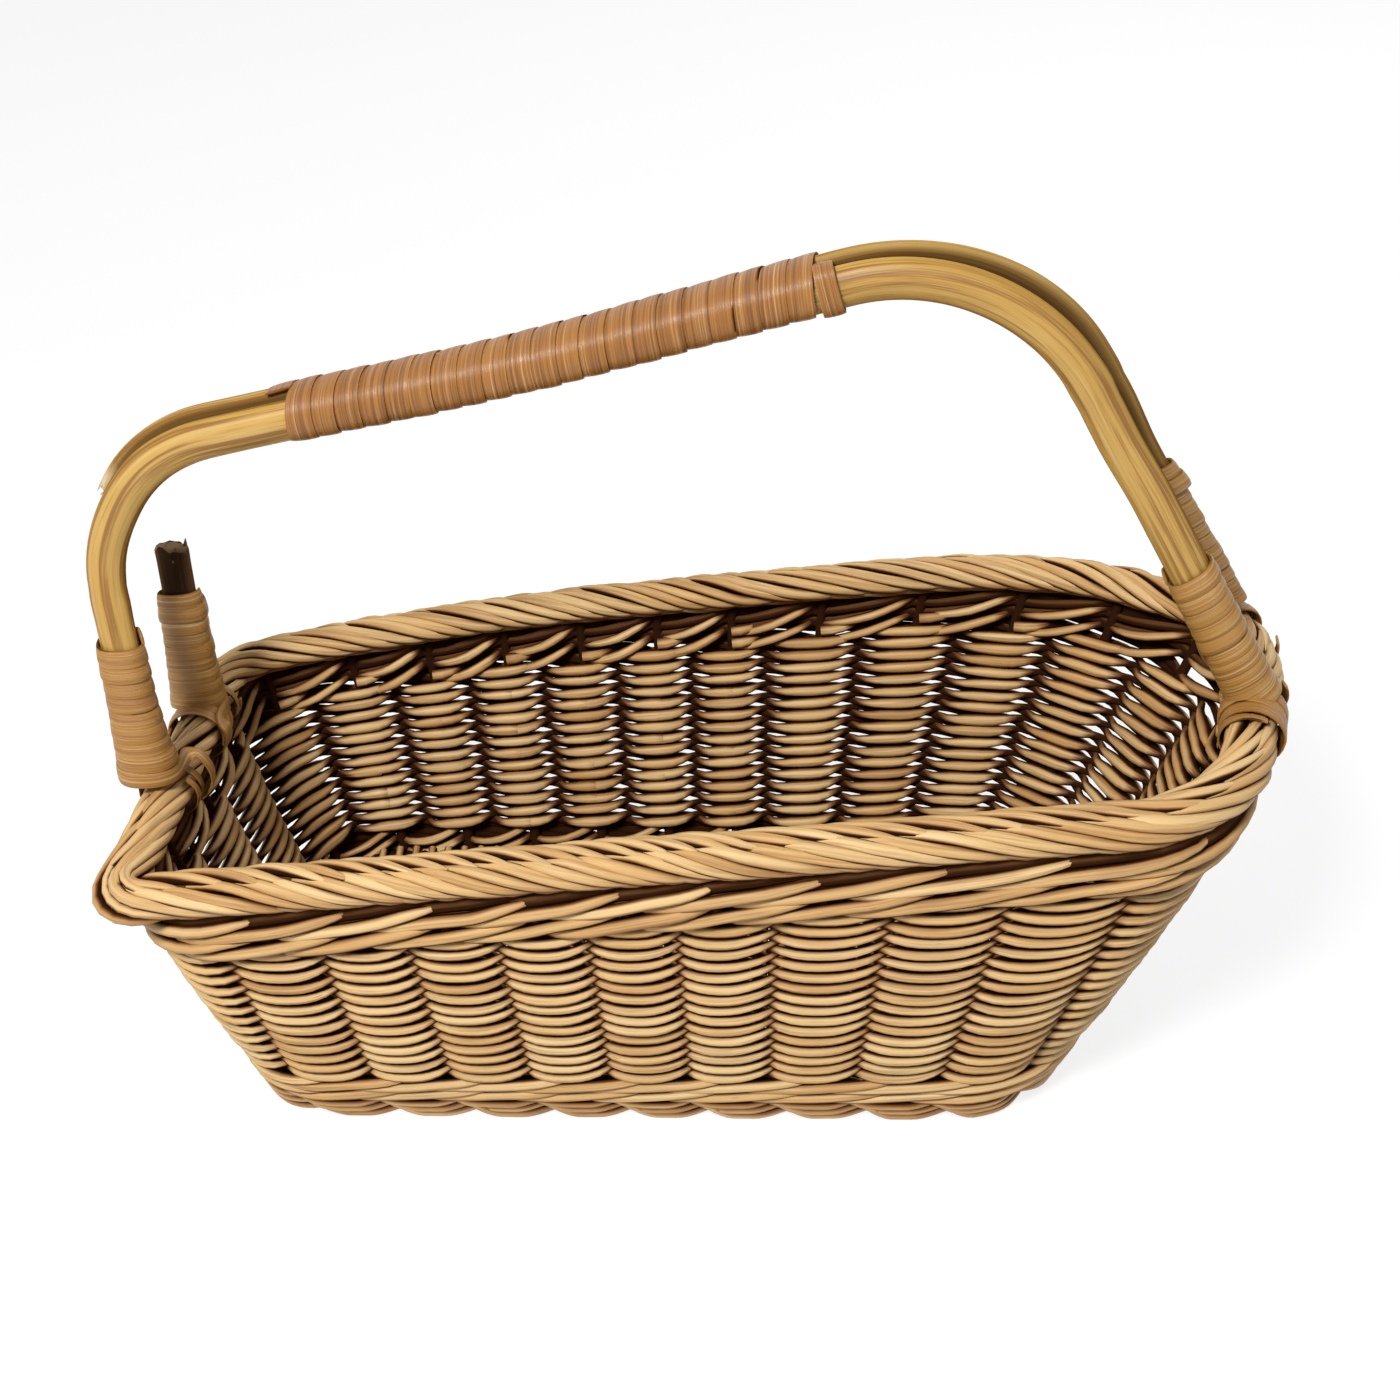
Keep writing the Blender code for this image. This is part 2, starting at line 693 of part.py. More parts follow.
def tang_sizes(foot, grow=0.0):
    """Section of a cane by its distance from the border's centre: its foot is thinned."""
    if foot < TANG_SHOULDER:
        return TANG_WIDTH + 2 * grow, TANG_DEPTH / 2 + grow, TANG_DEPTH / 2 + grow
    return CANE_WIDTH + 2 * grow, CANE_OUTER_DEPTH + grow, CANE_INNER_DEPTH + grow


def cane_stations(begin, end):
    """Distances for a cane's sections: close in the bends, few on the straights."""
    spots = [begin, end]
    for run in arch.runs:
        straight = run[0] == "line" and run is not arch.grip_line
        steps = CANE_LINE_STEPS if straight else CANE_BEND_STEPS
        spots += [run[1] + run[2] * i / steps for i in range(steps + 1)]
    for foot in (0.0, arch.length):
        direction = 1 if foot == 0.0 else -1
        spots += [foot + direction * (TANG_SHOULDER - SHOULDER_STEP / 2),
                  foot + direction * (TANG_SHOULDER + SHOULDER_STEP / 2)]
    spots = sorted(spot for spot in spots if begin <= spot <= end)
    return [spot for i, spot in enumerate(spots) if i == 0 or spot - spots[i - 1] > PROBE]


def cane_rings(side, begin, end):
    rings = []
    for distance in cane_stations(begin, end):
        centre, _, normal = leg_frame(distance, side)
        foot = min(distance, arch.length - distance)
        rings.append(cane_ring(centre, normal, side, *tang_sizes(foot)))
    return rings


def make_front_cane(root):
    rings = cane_rings(-1, TANG_BOTTOM, arch.length - TANG_BOTTOM)
    return swept("handle_cane_front", rings, CANE, root)


def snapped(ring, heading):
    """A torn end: the section's points pulled along the cane by unlike amounts."""
    pull = SNAP_DEPTH / len(SNAP_LEVELS)
    return [point + heading * (pull * level) for point, level in zip(ring, SNAP_LEVELS)]


def make_rear_cane(root):
    start = arch.low_bend[1]
    snap = start + LOW_BEND_RADIUS * radians(SNAP_ANGLE)
    rings = cane_rings(1, snap, arch.length - TANG_BOTTOM)
    _, heading, _ = leg_frame(snap, 1)
    rings[0] = snapped(rings[0], -heading)
    return swept("handle_cane_rear", rings, CANE, root)


def stub_frame(height):
    foot = Vector((RIM_LOW_END - STUB_OUTSET, LEG_SPACING / 2, RIM_LOW_HEIGHT))
    up = Vector((STUB_LEAN, 0.0, 1.0)).normalized()
    return foot + up * height, up, Vector((-up.z, 0.0, up.x))


def stub_sizes(height, grow=0.0):
    width, outer, inner = tang_sizes(height, grow)
    if height >= TANG_SHOULDER:
        width -= CANE_WIDTH - STUB_WIDTH
    return width, outer, inner


def make_stub(root):
    rings = []
    shoulder = (TANG_SHOULDER - SHOULDER_STEP / 2, TANG_SHOULDER + SHOULDER_STEP / 2)
    for height in (TANG_BOTTOM, *shoulder, STUB_HEIGHT / 2, STUB_HEIGHT - SNAP_DEPTH):
        centre, up, normal = stub_frame(height)
        rings.append(cane_ring(centre, normal, 1, *stub_sizes(height)))
    rings[-1] = snapped(rings[-1], up)
    return swept("handle_stub_rear_low", rings, OLD_CANE, root)


def cut_leg_sockets(border, root):
    """Oval sockets in the border that take the thinned feet of the canes."""
    feet = ((LOW_FRONT, -1), (stub_frame, 1), (HIGH_FRONT, -1), (HIGH_REAR, 1))
    for number, (frame, side) in enumerate(feet):
        rings = []
        for height in (TANG_BOTTOM - CLEARANCE, TANG_SHOULDER + SOCKET_OVERCUT):
            centre, _, normal = frame(height)
            rings.append(cane_ring(centre, normal, side, *tang_sizes(0.0, CLEARANCE)))
        tool = swept(f"cutter_socket_{number + 1}", rings, REED, root)
        tool.hide_render = True
        tool.display_type = "WIRE"
        cut = border.modifiers.new(f"socket_{number + 1}", "BOOLEAN")
        cut.object = tool
        cut.operation = "DIFFERENCE"


def ribbon(name, stations, width, spec, root):
    """A flat strip through stations of place, normal and width direction."""
    rings = []
    for place, normal, across in stations:
        out = normal * (STRIP_THICKNESS / 2)
        side = across * (width / 2)
        rings.append([place + out + side, place + out - side,
                      place - out - side, place - out + side])
    return swept(name, rings, spec, root)


def report_gap(name, stations, per_turn, width):
    """Least gap between one turn and the next, along the piece that they bind."""
    gaps = []
    for (place, _, across), (after, _, _) in zip(stations, stations[per_turn:]):
        gaps.append(abs((after - place).dot(across)) - width)
    print(f"{name}: least gap between turns {min(gaps) * 1000:.2f} mm")


def loop_point(angle, half_across, outer, inner):
    """Point and normal of a rounded loop, with unlike depths on its two sides."""
    c, s = cos(angle), sin(angle)
    half_deep = outer if s >= 0 else inner
    across = half_across * abs(c) ** (2 / LOOP_SQUARENESS) * (1 if c >= 0 else -1)
    deep = half_deep * abs(s) ** (2 / LOOP_SQUARENESS) * (1 if s >= 0 else -1)
    slope = Vector((c * half_deep, s * half_across)).normalized()
    return across, deep, slope


STRIP_OFFSET = STRIP_CLEARANCE + STRIP_THICKNESS / 2


def make_grip_wrap(root):
    pitch = (GRIP_TO - GRIP_FROM - GRIP_STRIP_WIDTH) / GRIP_TURNS
    half_across = CANE_WIDTH / 2 + STRIP_OFFSET
    half_deep = CANE_CENTRE + CANE_OUTER_DEPTH + STRIP_OFFSET
    stations = []
    for i in range(GRIP_TURNS * GRIP_LOOP_POINTS + 1):
        share = i / GRIP_LOOP_POINTS
        point, heading = arch.at(GRIP_FROM + GRIP_STRIP_WIDTH / 2 + share * pitch)
        normal = Vector((-heading.y, 0.0, heading.x))
        across, deep, slope = loop_point(2 * pi * share, half_across, half_deep, half_deep)
        place = Vector((point.x, 0.0, point.y)) + normal * across + Vector((0.0, deep, 0.0))
        facing = normal * slope.x + Vector((0.0, slope.y, 0.0))
        stations.append((place, facing, Vector((heading.x, 0.0, heading.y))))
    report_gap("grip_wrap", stations, GRIP_LOOP_POINTS, GRIP_STRIP_WIDTH)
    return ribbon("grip_wrap", stations, GRIP_STRIP_WIDTH, PEEL, root)


def border_middle(y, inward):
    """Middle of the border, beside a foot of the handle."""
    if inward > 0:
        plan, _ = rim_plan.at(rim_plan.low_middle - y)
    else:
        plan, _ = rim_plan.at(rim_plan.high_middle + y)
    return Vector((plan.x, y, rim_height(plan.x)))


def make_leg_wrap(name, frame, inward, side, turns, root):
    """Binding of one foot: turns down the leg, then a fold and a tie round the border.

    frame gives the leg at a height above the border's middle; inward is +1 or -1 along X
    towards the basket's middle; side is -1 for a front leg and +1 for a rear one.
    """
    half_across = CANE_WIDTH / 2 + STRIP_OFFSET
    outer, inner_depth = CANE_OUTER_DEPTH + STRIP_OFFSET, CANE_INNER_DEPTH + STRIP_OFFSET
    sideways = Vector((0.0, side, 0.0))
    stations = []
    steps = turns * LEG_LOOP_POINTS
    for i in range(steps + 1):
        share = (steps - i) / LEG_LOOP_POINTS
        centre, up, inner = frame(WRAP_FOOT + share * LEG_PITCH)
        inner = inner * (1 if inner.x * inward > 0 else -1)
        across, deep, slope = loop_point(2 * pi * share, half_across, outer, inner_depth)
        place = centre + inner * across + sideways * deep
        stations.append((place, inner * slope.x + sideways * slope.y, up))
    report_gap(name, stations, LEG_LOOP_POINTS, LEG_STRIP_WIDTH)

    stations += tie_stations(stations[-1], inward, -side)
    return ribbon(name, stations, LEG_STRIP_WIDTH, PEEL, root)


def tie_stations(start, inward, side):
    """The strip's end: along the border to one side, then bent across it and once round."""
    place, facing, _ = start
    sideways = Vector((0.0, side, 0.0))
    reach_x = BORDER_REACH_X + STRIP_OFFSET
    reach_z = BORDER_REACH_Z + STRIP_OFFSET
    middle = border_middle(place.y + side * (TIE_RUN + TIE_BEND), inward)

    def angle_and_swell(spot):
        x, z = (spot.x - middle.x) * inward / reach_x, (spot.z - middle.z) / reach_z
        return atan2(z, x), sqrt(x * x + z * z)

    def out_at(angle):
        return Vector((inward * reach_z * cos(angle), 0.0, reach_x * sin(angle))).normalized()

    begin, _ = angle_and_swell(place)
    target = out_at(begin)
    travel = sideways.cross(target) * (side * inward)
    route = []
    for step in range(1, TIE_RUN_STEPS + 1):
        route.append((place + sideways * (TIE_RUN * step / TIE_RUN_STEPS), sideways))
    for step in range(1, TIE_BEND_STEPS + 1):
        angle = pi / 2 * step / TIE_BEND_STEPS
        bend = sideways * (TIE_RUN + TIE_BEND * sin(angle)) + travel * (TIE_BEND * (1 - cos(angle)))
        route.append((place + bend, sideways * cos(angle) + travel * sin(angle)))
    stations = []
    for step, (spot, heading) in enumerate(route):
        outward = facing.lerp(target, (step + 1) / len(route)).normalized()
        stations.append((spot, outward, heading.cross(outward) * (-side * inward)))

    begin, swell = angle_and_swell(route[-1][0])
    for step in range(1, TIE_LOOP_STEPS + 1):
        share = step / TIE_LOOP_STEPS
        angle = lerp(begin, -radians(TIE_END_ANGLE), share)
        size = lerp(swell, 1.0, min(1.0, 2 * share))
        spot = Vector((inward * cos(angle) * reach_x, 0.0, sin(angle) * reach_z)) * size
        stations.append((middle + spot, out_at(angle), sideways))
    return stations


def make_wraps(root):
    make_grip_wrap(root)
    make_leg_wrap("leg_wrap_front_low", LOW_FRONT, 1, -1, LOW_FRONT_TURNS, root)
    make_leg_wrap("leg_wrap_rear_low", stub_frame, 1, 1, LOW_REAR_TURNS, root)
    make_leg_wrap("leg_wrap_front_high", HIGH_FRONT, -1, -1, HIGH_FRONT_TURNS, root)
    make_leg_wrap("leg_wrap_rear_high", HIGH_REAR, -1, 1, HIGH_REAR_TURNS, root)


def stand_on_origin(root):
    """Move the model so that the middle of its box's underside is the origin."""
    bpy.context.view_layer.update()
    graph = bpy.context.evaluated_depsgraph_get()
    low, high = Vector((1.0, 1.0, 1.0)), Vector((-1.0, -1.0, -1.0))
    for item in root.children:
        if item.hide_render:
            continue
        shape = item.evaluated_get(graph)
        mesh = shape.to_mesh()
        for vert in mesh.vertices:
            place = item.matrix_world @ vert.co
            low = Vector(map(min, low, place))
            high = Vector(map(max, high, place))
        shape.to_mesh_clear()
    root.location = (-(low.x + high.x) / 2, -(low.y + high.y) / 2, -low.z)
    size = (high - low) * 1000
    print(f"moved by {root.location.x * 1000:.3f} {root.location.y * 1000:.3f} mm")
    print(f"overall {size.x:.1f} x {size.y:.1f} x {size.z:.1f} mm")


def main():
    clear_scene()
    root = bpy.data.objects.new("basket_origin", None)
    bpy.context.scene.collection.objects.link(root)
    make_foot_border(root)
    make_base(root)
    woven_band("lower_wale", (FOOT_TOP, LOWER_WALE_TOP), LOWER_WALE_ROW_COUNT, WALING,
               WALE_PROUD, 0.0, root)
    woven_band("side_weave", (WEAVE_BOTTOM, WEAVE_MIDDLE, WEAVE_TOP), WEAVE_ROW_COUNT, PAIRING,
               0.0, WEAVE_HOLLOW, root)
    woven_band("upper_wale", (UPPER_WALE_BOTTOM, UPPER_WALE_TOP), UPPER_WALE_ROW_COUNT, WALING,
               WALE_PROUD, WEAVE_HOLLOW, root)
    make_stakes(root)
    cut_leg_sockets(make_rim_border(root), root)
    make_front_cane(root)
    make_rear_cane(root)
    make_stub(root)
    make_wraps(root)
    stand_on_origin(root)


main()
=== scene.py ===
import bmesh
import bpy
from math import atan2, copysign, cos, degrees, exp, pi, radians, sin, sqrt, tan
from random import Random
from types import SimpleNamespace
from mathutils import Matrix, Vector, noise


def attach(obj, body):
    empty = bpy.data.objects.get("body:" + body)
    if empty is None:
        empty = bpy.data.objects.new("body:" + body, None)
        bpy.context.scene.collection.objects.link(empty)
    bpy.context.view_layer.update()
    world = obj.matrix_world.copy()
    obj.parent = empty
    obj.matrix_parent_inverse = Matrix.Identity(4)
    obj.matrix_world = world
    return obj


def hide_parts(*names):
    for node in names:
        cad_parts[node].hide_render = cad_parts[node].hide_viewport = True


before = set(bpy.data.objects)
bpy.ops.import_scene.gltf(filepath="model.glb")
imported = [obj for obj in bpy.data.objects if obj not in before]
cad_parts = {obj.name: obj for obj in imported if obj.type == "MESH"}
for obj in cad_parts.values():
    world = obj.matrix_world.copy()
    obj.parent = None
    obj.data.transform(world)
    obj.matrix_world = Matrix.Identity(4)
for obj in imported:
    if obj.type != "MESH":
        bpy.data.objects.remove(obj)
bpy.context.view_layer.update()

originShift = Vector((-0.012043, -0.0006, 0.0))  # from the middle of the base to the frame's origin


def mix(a, b, t):
    return a + (b - a) * t


def soften(t):
    t = min(1.0, max(0.0, t))
    return t * t * (3 - 2 * t)


def evenShares(steps):
    return [i / steps for i in range(steps + 1)]


def waver(*place):
    return noise.noise(Vector(place))


# plan and wall of the basket

basket = SimpleNamespace(
    baseLow=-0.1100, baseHigh=0.1085, baseWidth=0.104,
    baseLowCorner=((0.020, 90),), baseHighCorner=((0.030, 90),),
    rimLow=-0.1326, rimHigh=0.1612, rimWidth=0.1266, rimRearward=0.0006,
    rimHighFront=((0.036, 77), (0.034, 0), (0.020, 13)),
    rimHighRear=((0.040, 50), (0.014, 0), (0.060, 20), (0.150, 20)),
    rimLowRear=((0.450, 14), (0.016, 76)),
    rimLowFront=((0.008, 90),),
    wallHighFront=((0.026, 77), (0.042, 0), (0.020, 13)),
    wallLowFront=((0.020, 90),),
    lowHeight=0.083, highHeight=0.1095, belly=0.0025,
    stakes=28, stakePhase=-0.0025,
    fanStart=0.026, fanStartShift=0.0015, fanLow=0.0332, fanHigh=0.0590,
    footTop=0.0069, weaveBottom=0.0152, lowerWaleTop=0.0149,
    borderReach=0.00645, slit=0.0022, upperWale=0.0116, weaveGap=0.0003,
)


def walk(place, heading, along, radius):
    if not radius:
        return place + Vector((cos(heading), sin(heading))) * along
    turned = heading + along / radius
    swing = Vector((sin(turned) - sin(heading), cos(heading) - cos(turned)))
    return place + swing * radius


class Route:  # runs laid end to end in a plane: a line's length, or a bend's radius with its degrees
    def __init__(self, place, heading=0.0):
        self.place, self.heading, self.length, self.runs = place, heading, 0.0, []

    def add(self, *steps):
        for size, angle in steps:
            radius = copysign(size, angle) if angle else 0.0
            length = size * radians(abs(angle)) if angle else size
            self.runs.append((self.length, length, self.place, self.heading, radius))
            self.place = walk(self.place, self.heading, length, radius)
            self.heading += radians(angle)
            self.length += length
        return self

    def follow(self, distance):
        for run in self.runs:
            begin, length, place, heading, radius = run
            if distance <= begin + length:
                break
        along = distance - begin
        return walk(place, heading, along, radius), heading + (along / radius if radius else 0.0), run


def cornerReach(corner):
    return Route(Vector((0.0, 0.0))).add(*corner).place


class Outline(Route):
    def __init__(self, xLow, xHigh, width, rearward, corners):  # walked anticlockwise from x = 0 in front
        half = width / 2
        reach = [cornerReach(corner) for corner in corners]
        super().__init__(Vector((0.0, rearward - half)))
        self.add((xHigh - reach[0].x, 0), *corners[0])
        self.highMiddle = self.length + half - rearward - reach[0].y
        self.add((width - reach[0].y - reach[1].x, 0), *corners[1])
        self.rearMiddle = self.length + xHigh - reach[1].y
        self.add((xHigh - reach[1].y - xLow - reach[2].x, 0), *corners[2])
        self.lowMiddle = self.length + half + rearward - reach[2].y
        self.add((width - reach[2].y - reach[3].x, 0), *corners[3], (-xLow - reach[3].y, 0))

    def at(self, distance):
        place, heading, _ = self.follow(distance % self.length)
        return place, Vector((sin(heading), -cos(heading)))


basePlan = Outline(basket.baseLow, basket.baseHigh, basket.baseWidth, 0.0,
                   (basket.baseHighCorner,) * 2 + (basket.baseLowCorner,) * 2)
wallPlan = Outline(basket.rimLow, basket.rimHigh, basket.rimWidth, basket.rimRearward,
                   (basket.wallHighFront, basket.rimHighRear,
                    basket.rimLowRear, basket.wallLowFront))
rimPlan = Outline(basket.rimLow, basket.rimHigh, basket.rimWidth, basket.rimRearward,
                  (basket.rimHighFront, basket.rimHighRear,
                   basket.rimLowRear, basket.rimLowFront))
stakePitch = basePlan.length / basket.stakes
rimStretch = rimPlan.length / wallPlan.length


def fanPairs():  # places on the base and on the rim that one straight stake joins
    baseHigh = basket.baseHigh - cornerReach(basket.baseHighCorner).x
    baseLow = -basket.baseLow - cornerReach(basket.baseLowCorner).x
    rimHigh = basket.rimHigh - basket.fanHigh
    rimLow = -basket.rimLow - basket.fanLow
    start = basket.fanStart
    rimStart = start + basket.fanStartShift
    return [(0.0, 0.0), (start, rimStart), (baseHigh, rimHigh),
            (basePlan.highMiddle, wallPlan.highMiddle),
            (basePlan.rearMiddle - baseHigh, wallPlan.rearMiddle - rimHigh),
            (basePlan.rearMiddle - start, wallPlan.rearMiddle - rimStart),
            (basePlan.rearMiddle, wallPlan.rearMiddle),
            (basePlan.rearMiddle + baseLow, wallPlan.rearMiddle + rimLow),
            (basePlan.lowMiddle, wallPlan.lowMiddle),
            (basePlan.length - baseLow, wallPlan.length - rimLow),
            (basePlan.length, wallPlan.length)]


fan = fanPairs()


def rimDistance(distance):
    distance %= basePlan.length
    for (b0, r0), (b1, r1) in zip(fan, fan[1:]):
        if distance <= b1:
            return mix(r0, r1, (distance - b0) / (b1 - b0))
    return wallPlan.length


def rimHeight(x):
    run = (x - basket.rimLow) / (basket.rimHigh - basket.rimLow)
    return mix(basket.lowHeight, basket.highHeight, run)


def stakeDistance(stake):
    return basket.stakePhase + stake * stakePitch


def wallAt(stake, level, offset=0.0):  # level gives a height from the rim's height there
    distance = stakeDistance(stake)
    low, lowNormal = basePlan.at(distance)
    high, highNormal = wallPlan.at(rimDistance(distance))
    top = rimHeight(high.x)
    share = level(top) / top
    normal = mix(lowNormal, highNormal, min(1.0, share)).normalized()
    plan = mix(low, high, share) + normal * (basket.belly * 4 * share * (1 - share) + offset)
    return Vector((plan.x, plan.y, level(top))), normal.to_3d()


def rimAt(stake):
    plan, facing = rimPlan.at(rimDistance(stakeDistance(stake)) * rimStretch)
    return Vector((plan.x, plan.y, rimHeight(plan.x))), facing.to_3d()


def upperTop(top):
    return top - basket.borderReach - basket.slit


def upperBottom(top):
    return upperTop(top) - basket.upperWale


def weaveTop(top):
    return upperBottom(top) - basket.weaveGap


def levelAt(height):
    return lambda top: height


# short forms for nodes

def feed(tree, socket, value):
    if isinstance(value, bpy.types.NodeSocket):
        tree.links.new(value, socket)
    else:
        socket.default_value = value


def addNode(tree, kind, inputs=None, **settings):
    node = tree.nodes.new(kind)
    for key, value in settings.items():
        setattr(node, key, value)
    for socket, value in (inputs or {}).items():
        feed(tree, node.inputs[socket], value)
    return node


def mathNode(tree, operation, *values, clamp=False):
    return addNode(tree, "ShaderNodeMath", dict(enumerate(values)), operation=operation,
                   use_clamp=clamp).outputs[0]


def vectorNode(tree, operation, *values):
    node = addNode(tree, "ShaderNodeVectorMath", dict(enumerate(values)), operation=operation)
    return node.outputs["Value" if operation == "DOT_PRODUCT" else "Vector"]


def mapNode(tree, value, fromLow, fromHigh, toLow=0.0, toHigh=1.0):
    ends = dict(enumerate((value, fromLow, fromHigh, toLow, toHigh)))
    return addNode(tree, "ShaderNodeMapRange", ends, interpolation_type="SMOOTHSTEP").outputs["Result"]


def noiseNode(tree, vector, seed, scale, detail, rough=0.5):
    inputs = {"Vector": vector, "W": seed, "Scale": scale, "Detail": detail, "Roughness": rough}
    return addNode(tree, "ShaderNodeTexNoise", inputs, noise_dimensions="4D")


def colourMix(tree, factor, colour, shade):  # a mix node's colour sockets are its seventh and eighth
    ends = {"Factor": factor, 6: colour, 7: (*shade, 1.0)}
    return addNode(tree, "ShaderNodeMix", data_type="RGBA", inputs=ends).outputs[2]


# finishes

def fibreMaterial(name, look):  # lengthwise fibre, read from the piece's own attributes
    made = bpy.data.materials.new(name)
    made.use_nodes = True
    tree = made.node_tree
    shader = tree.nodes["Principled BSDF"]

    def read(attribute, output="Fac"):
        return addNode(tree, "ShaderNodeAttribute", attribute_name=attribute).outputs[output]

    def grain(around, length, detail, rough):
        stretched = vectorNode(tree, "MULTIPLY", fibre, (around, around, length))
        return noiseNode(tree, stretched, shift, 1.0, detail, rough).outputs["Fac"]

    fibre, seed, facing = read("fibre", "Vector"), read("rodSeed"), read("facing")
    shift = mathNode(tree, "MULTIPLY", seed, 37.0)
    around, length = look["streakAround"], look["streakLength"]
    streak = grain(around, length, 4.0, 0.6)
    fine = grain(around * 4, length * 3, 3.0, 0.65)
    patch = grain(0.45, look["patchLength"], 3.0, 0.6)

    # the rod's own tone
    tone = addNode(tree, "ShaderNodeValToRGB")
    ramp = tone.color_ramp
    while len(ramp.elements) < len(look["tones"]):
        ramp.elements.new(0.5)
    for i, (element, shade) in enumerate(zip(ramp.elements, look["tones"])):
        element.position = i / (len(look["tones"]) - 1)
        element.color = (*shade, 1.0)
    bySeed = mathNode(tree, "MULTIPLY", seed, look["toneBySeed"])
    feed(tree, tone.inputs["Fac"], mathNode(tree, "MULTIPLY_ADD", patch, look["toneByPatch"], bySeed))
    colour = tone.outputs["Color"]

    # streaks, stains, specks, then painted shade on faces turned down or away and darker painted shade in
    # the crevices, and pale torn fibre
    for source, span, depth, shade in (
            (streak, look["streakRange"], "streakDark", "dark"),
            (streak, (0.46, 0.26), "streakLight", "light"),
            (fine, (0.52, 0.80), "fineDark", "dark"),
            (patch, (0.60, 0.78), "patchDark", "stain")):
        colour = colourMix(tree, mapNode(tree, source, *span, 0.0, look[depth]), colour, look[shade])
    spots = vectorNode(tree, "MULTIPLY", fibre, (0.9, 0.9, look["speckLength"]))
    cells = addNode(tree, "ShaderNodeTexVoronoi", {"Vector": spots, "W": shift, "Scale": 1.0},
                    voronoi_dimensions="4D", feature="F1")
    size = look["speckSize"]
    speck = mapNode(tree, cells.outputs["Distance"], size, size * 0.4, 0.0, look["speckDark"])
    colour = colourMix(tree, speck, colour, look["stain"])
    # painted shade: the lower the facing attribute, the darker the colour, down to near black in the
    # crevices
    shade = mapNode(tree, facing, look["shadeTo"], look["shadeFrom"], look["shadeDepth"], 0.0)
    colour = colourMix(tree, shade, colour, look["shade"])
    crevice = mapNode(tree, facing, look["creviceFrom"], look["creviceTo"], look["crevice"], 0.0)
    colour = colourMix(tree, crevice, colour, look["paintedCreviceShade"])
    torn = mathNode(tree, "MULTIPLY", read("fresh"), mapNode(tree, fine, 0.25, 0.6, 0.5), clamp=True)
    colour = colourMix(tree, torn, colour, look["torn"])

    relief = mathNode(tree, "MULTIPLY_ADD", fine, 0.5, mathNode(tree, "MULTIPLY", streak, 0.7))
    bump = addNode(tree, "ShaderNodeBump", {"Strength": look["bump"], "Distance": 0.0005, "Height": relief})
    for label, value in (
            ("Base Color", colour), ("Normal", bump.outputs["Normal"]),
            ("Specular IOR Level", mapNode(tree, facing, 0.3, 0.8, 0.0, look["gloss"])),
            ("Roughness", mapNode(tree, streak, 0.3, 0.7, look["roughLow"], look["roughHigh"]))):
        feed(tree, shader.inputs[label], value)
    return made


looks = dict(  # of peeled reed, of yellow cane and of the grip's peel
    tones=(((0.52, 0.272, 0.088), (0.71, 0.430, 0.165), (0.82, 0.565, 0.260), (0.61, 0.345, 0.120)),
           ((0.37, 0.180, 0.032), (0.57, 0.340, 0.085), (0.78, 0.560, 0.225)),
           ((0.21, 0.070, 0.012), (0.37, 0.150, 0.026), (0.54, 0.270, 0.062))),
    toneBySeed=(0.75, 0.4, 0.15), toneByPatch=(0.4, 0.75, 0.85), streakAround=(1.7, 2.6, 6.5),
    streakLength=(26.0, 14.0, 16.0), patchLength=(34.0, 22.0, 26.0),
    streakRange=((0.47, 0.66), (0.46, 0.60), (0.47, 0.64)), streakDark=(0.55, 0.85, 0.80),
    streakLight=(0.45, 0.45, 0.85), fineDark=(0.34, 0.62, 0.62), patchDark=(0.40, 0.62, 0.32),
    dark=((0.33, 0.155, 0.055), (0.25, 0.105, 0.022), (0.16, 0.055, 0.014)),
    light=((0.88, 0.69, 0.43), (0.80, 0.60, 0.26), (0.70, 0.41, 0.19)),
    stain=((0.23, 0.100, 0.036), (0.20, 0.085, 0.022), (0.13, 0.048, 0.016)),
    # shade, the crevice keys and the near-black crevice colour after them are painted shade, laid by the
    # facing attribute
    shade=((0.21, 0.070, 0.020), (0.28, 0.14, 0.035), (0.12, 0.040, 0.011)), shadeFrom=(0.93, 0.15, 0.78),
    shadeTo=(0.44, -0.75, 0.10), shadeDepth=(0.90, 0.62, 0.80), speckLength=(55.0, 34.0, 60.0),
    speckSize=(0.10, 0.13, 0.10), speckDark=(0.8, 0.9, 0.6),
    paintedCreviceShade=((0.030, 0.010, 0.004), (0.06, 0.025, 0.008), (0.035, 0.012, 0.005)), crevice=(0.97, 0.80, 0.92),
    creviceFrom=(0.20, -0.95, 0.05), creviceTo=(0.66, -0.45, 0.45),
    torn=((0.80, 0.62, 0.36), (0.84, 0.68, 0.42), (0.74, 0.52, 0.30)), roughLow=(0.40, 0.30, 0.26),
    roughHigh=(0.58, 0.48, 0.44), gloss=(0.30, 0.40, 0.50), bump=(0.45, 0.35, 0.55),
)
reedLook, caneLook, peelLook = ({key: each[i] for key, each in looks.items()} for i in range(3))
legPeelLook = dict(peelLook, tones=((0.31, 0.125, 0.020), (0.45, 0.220, 0.044), (0.66, 0.420, 0.140)),
                   dark=(0.22, 0.080, 0.016), light=(0.84, 0.61, 0.30), shade=(0.26, 0.105, 0.028),
                   streakDark=0.62, fineDark=0.50, patchDark=0.55, shadeDepth=0.62,
                   roughLow=0.30, roughHigh=0.46)
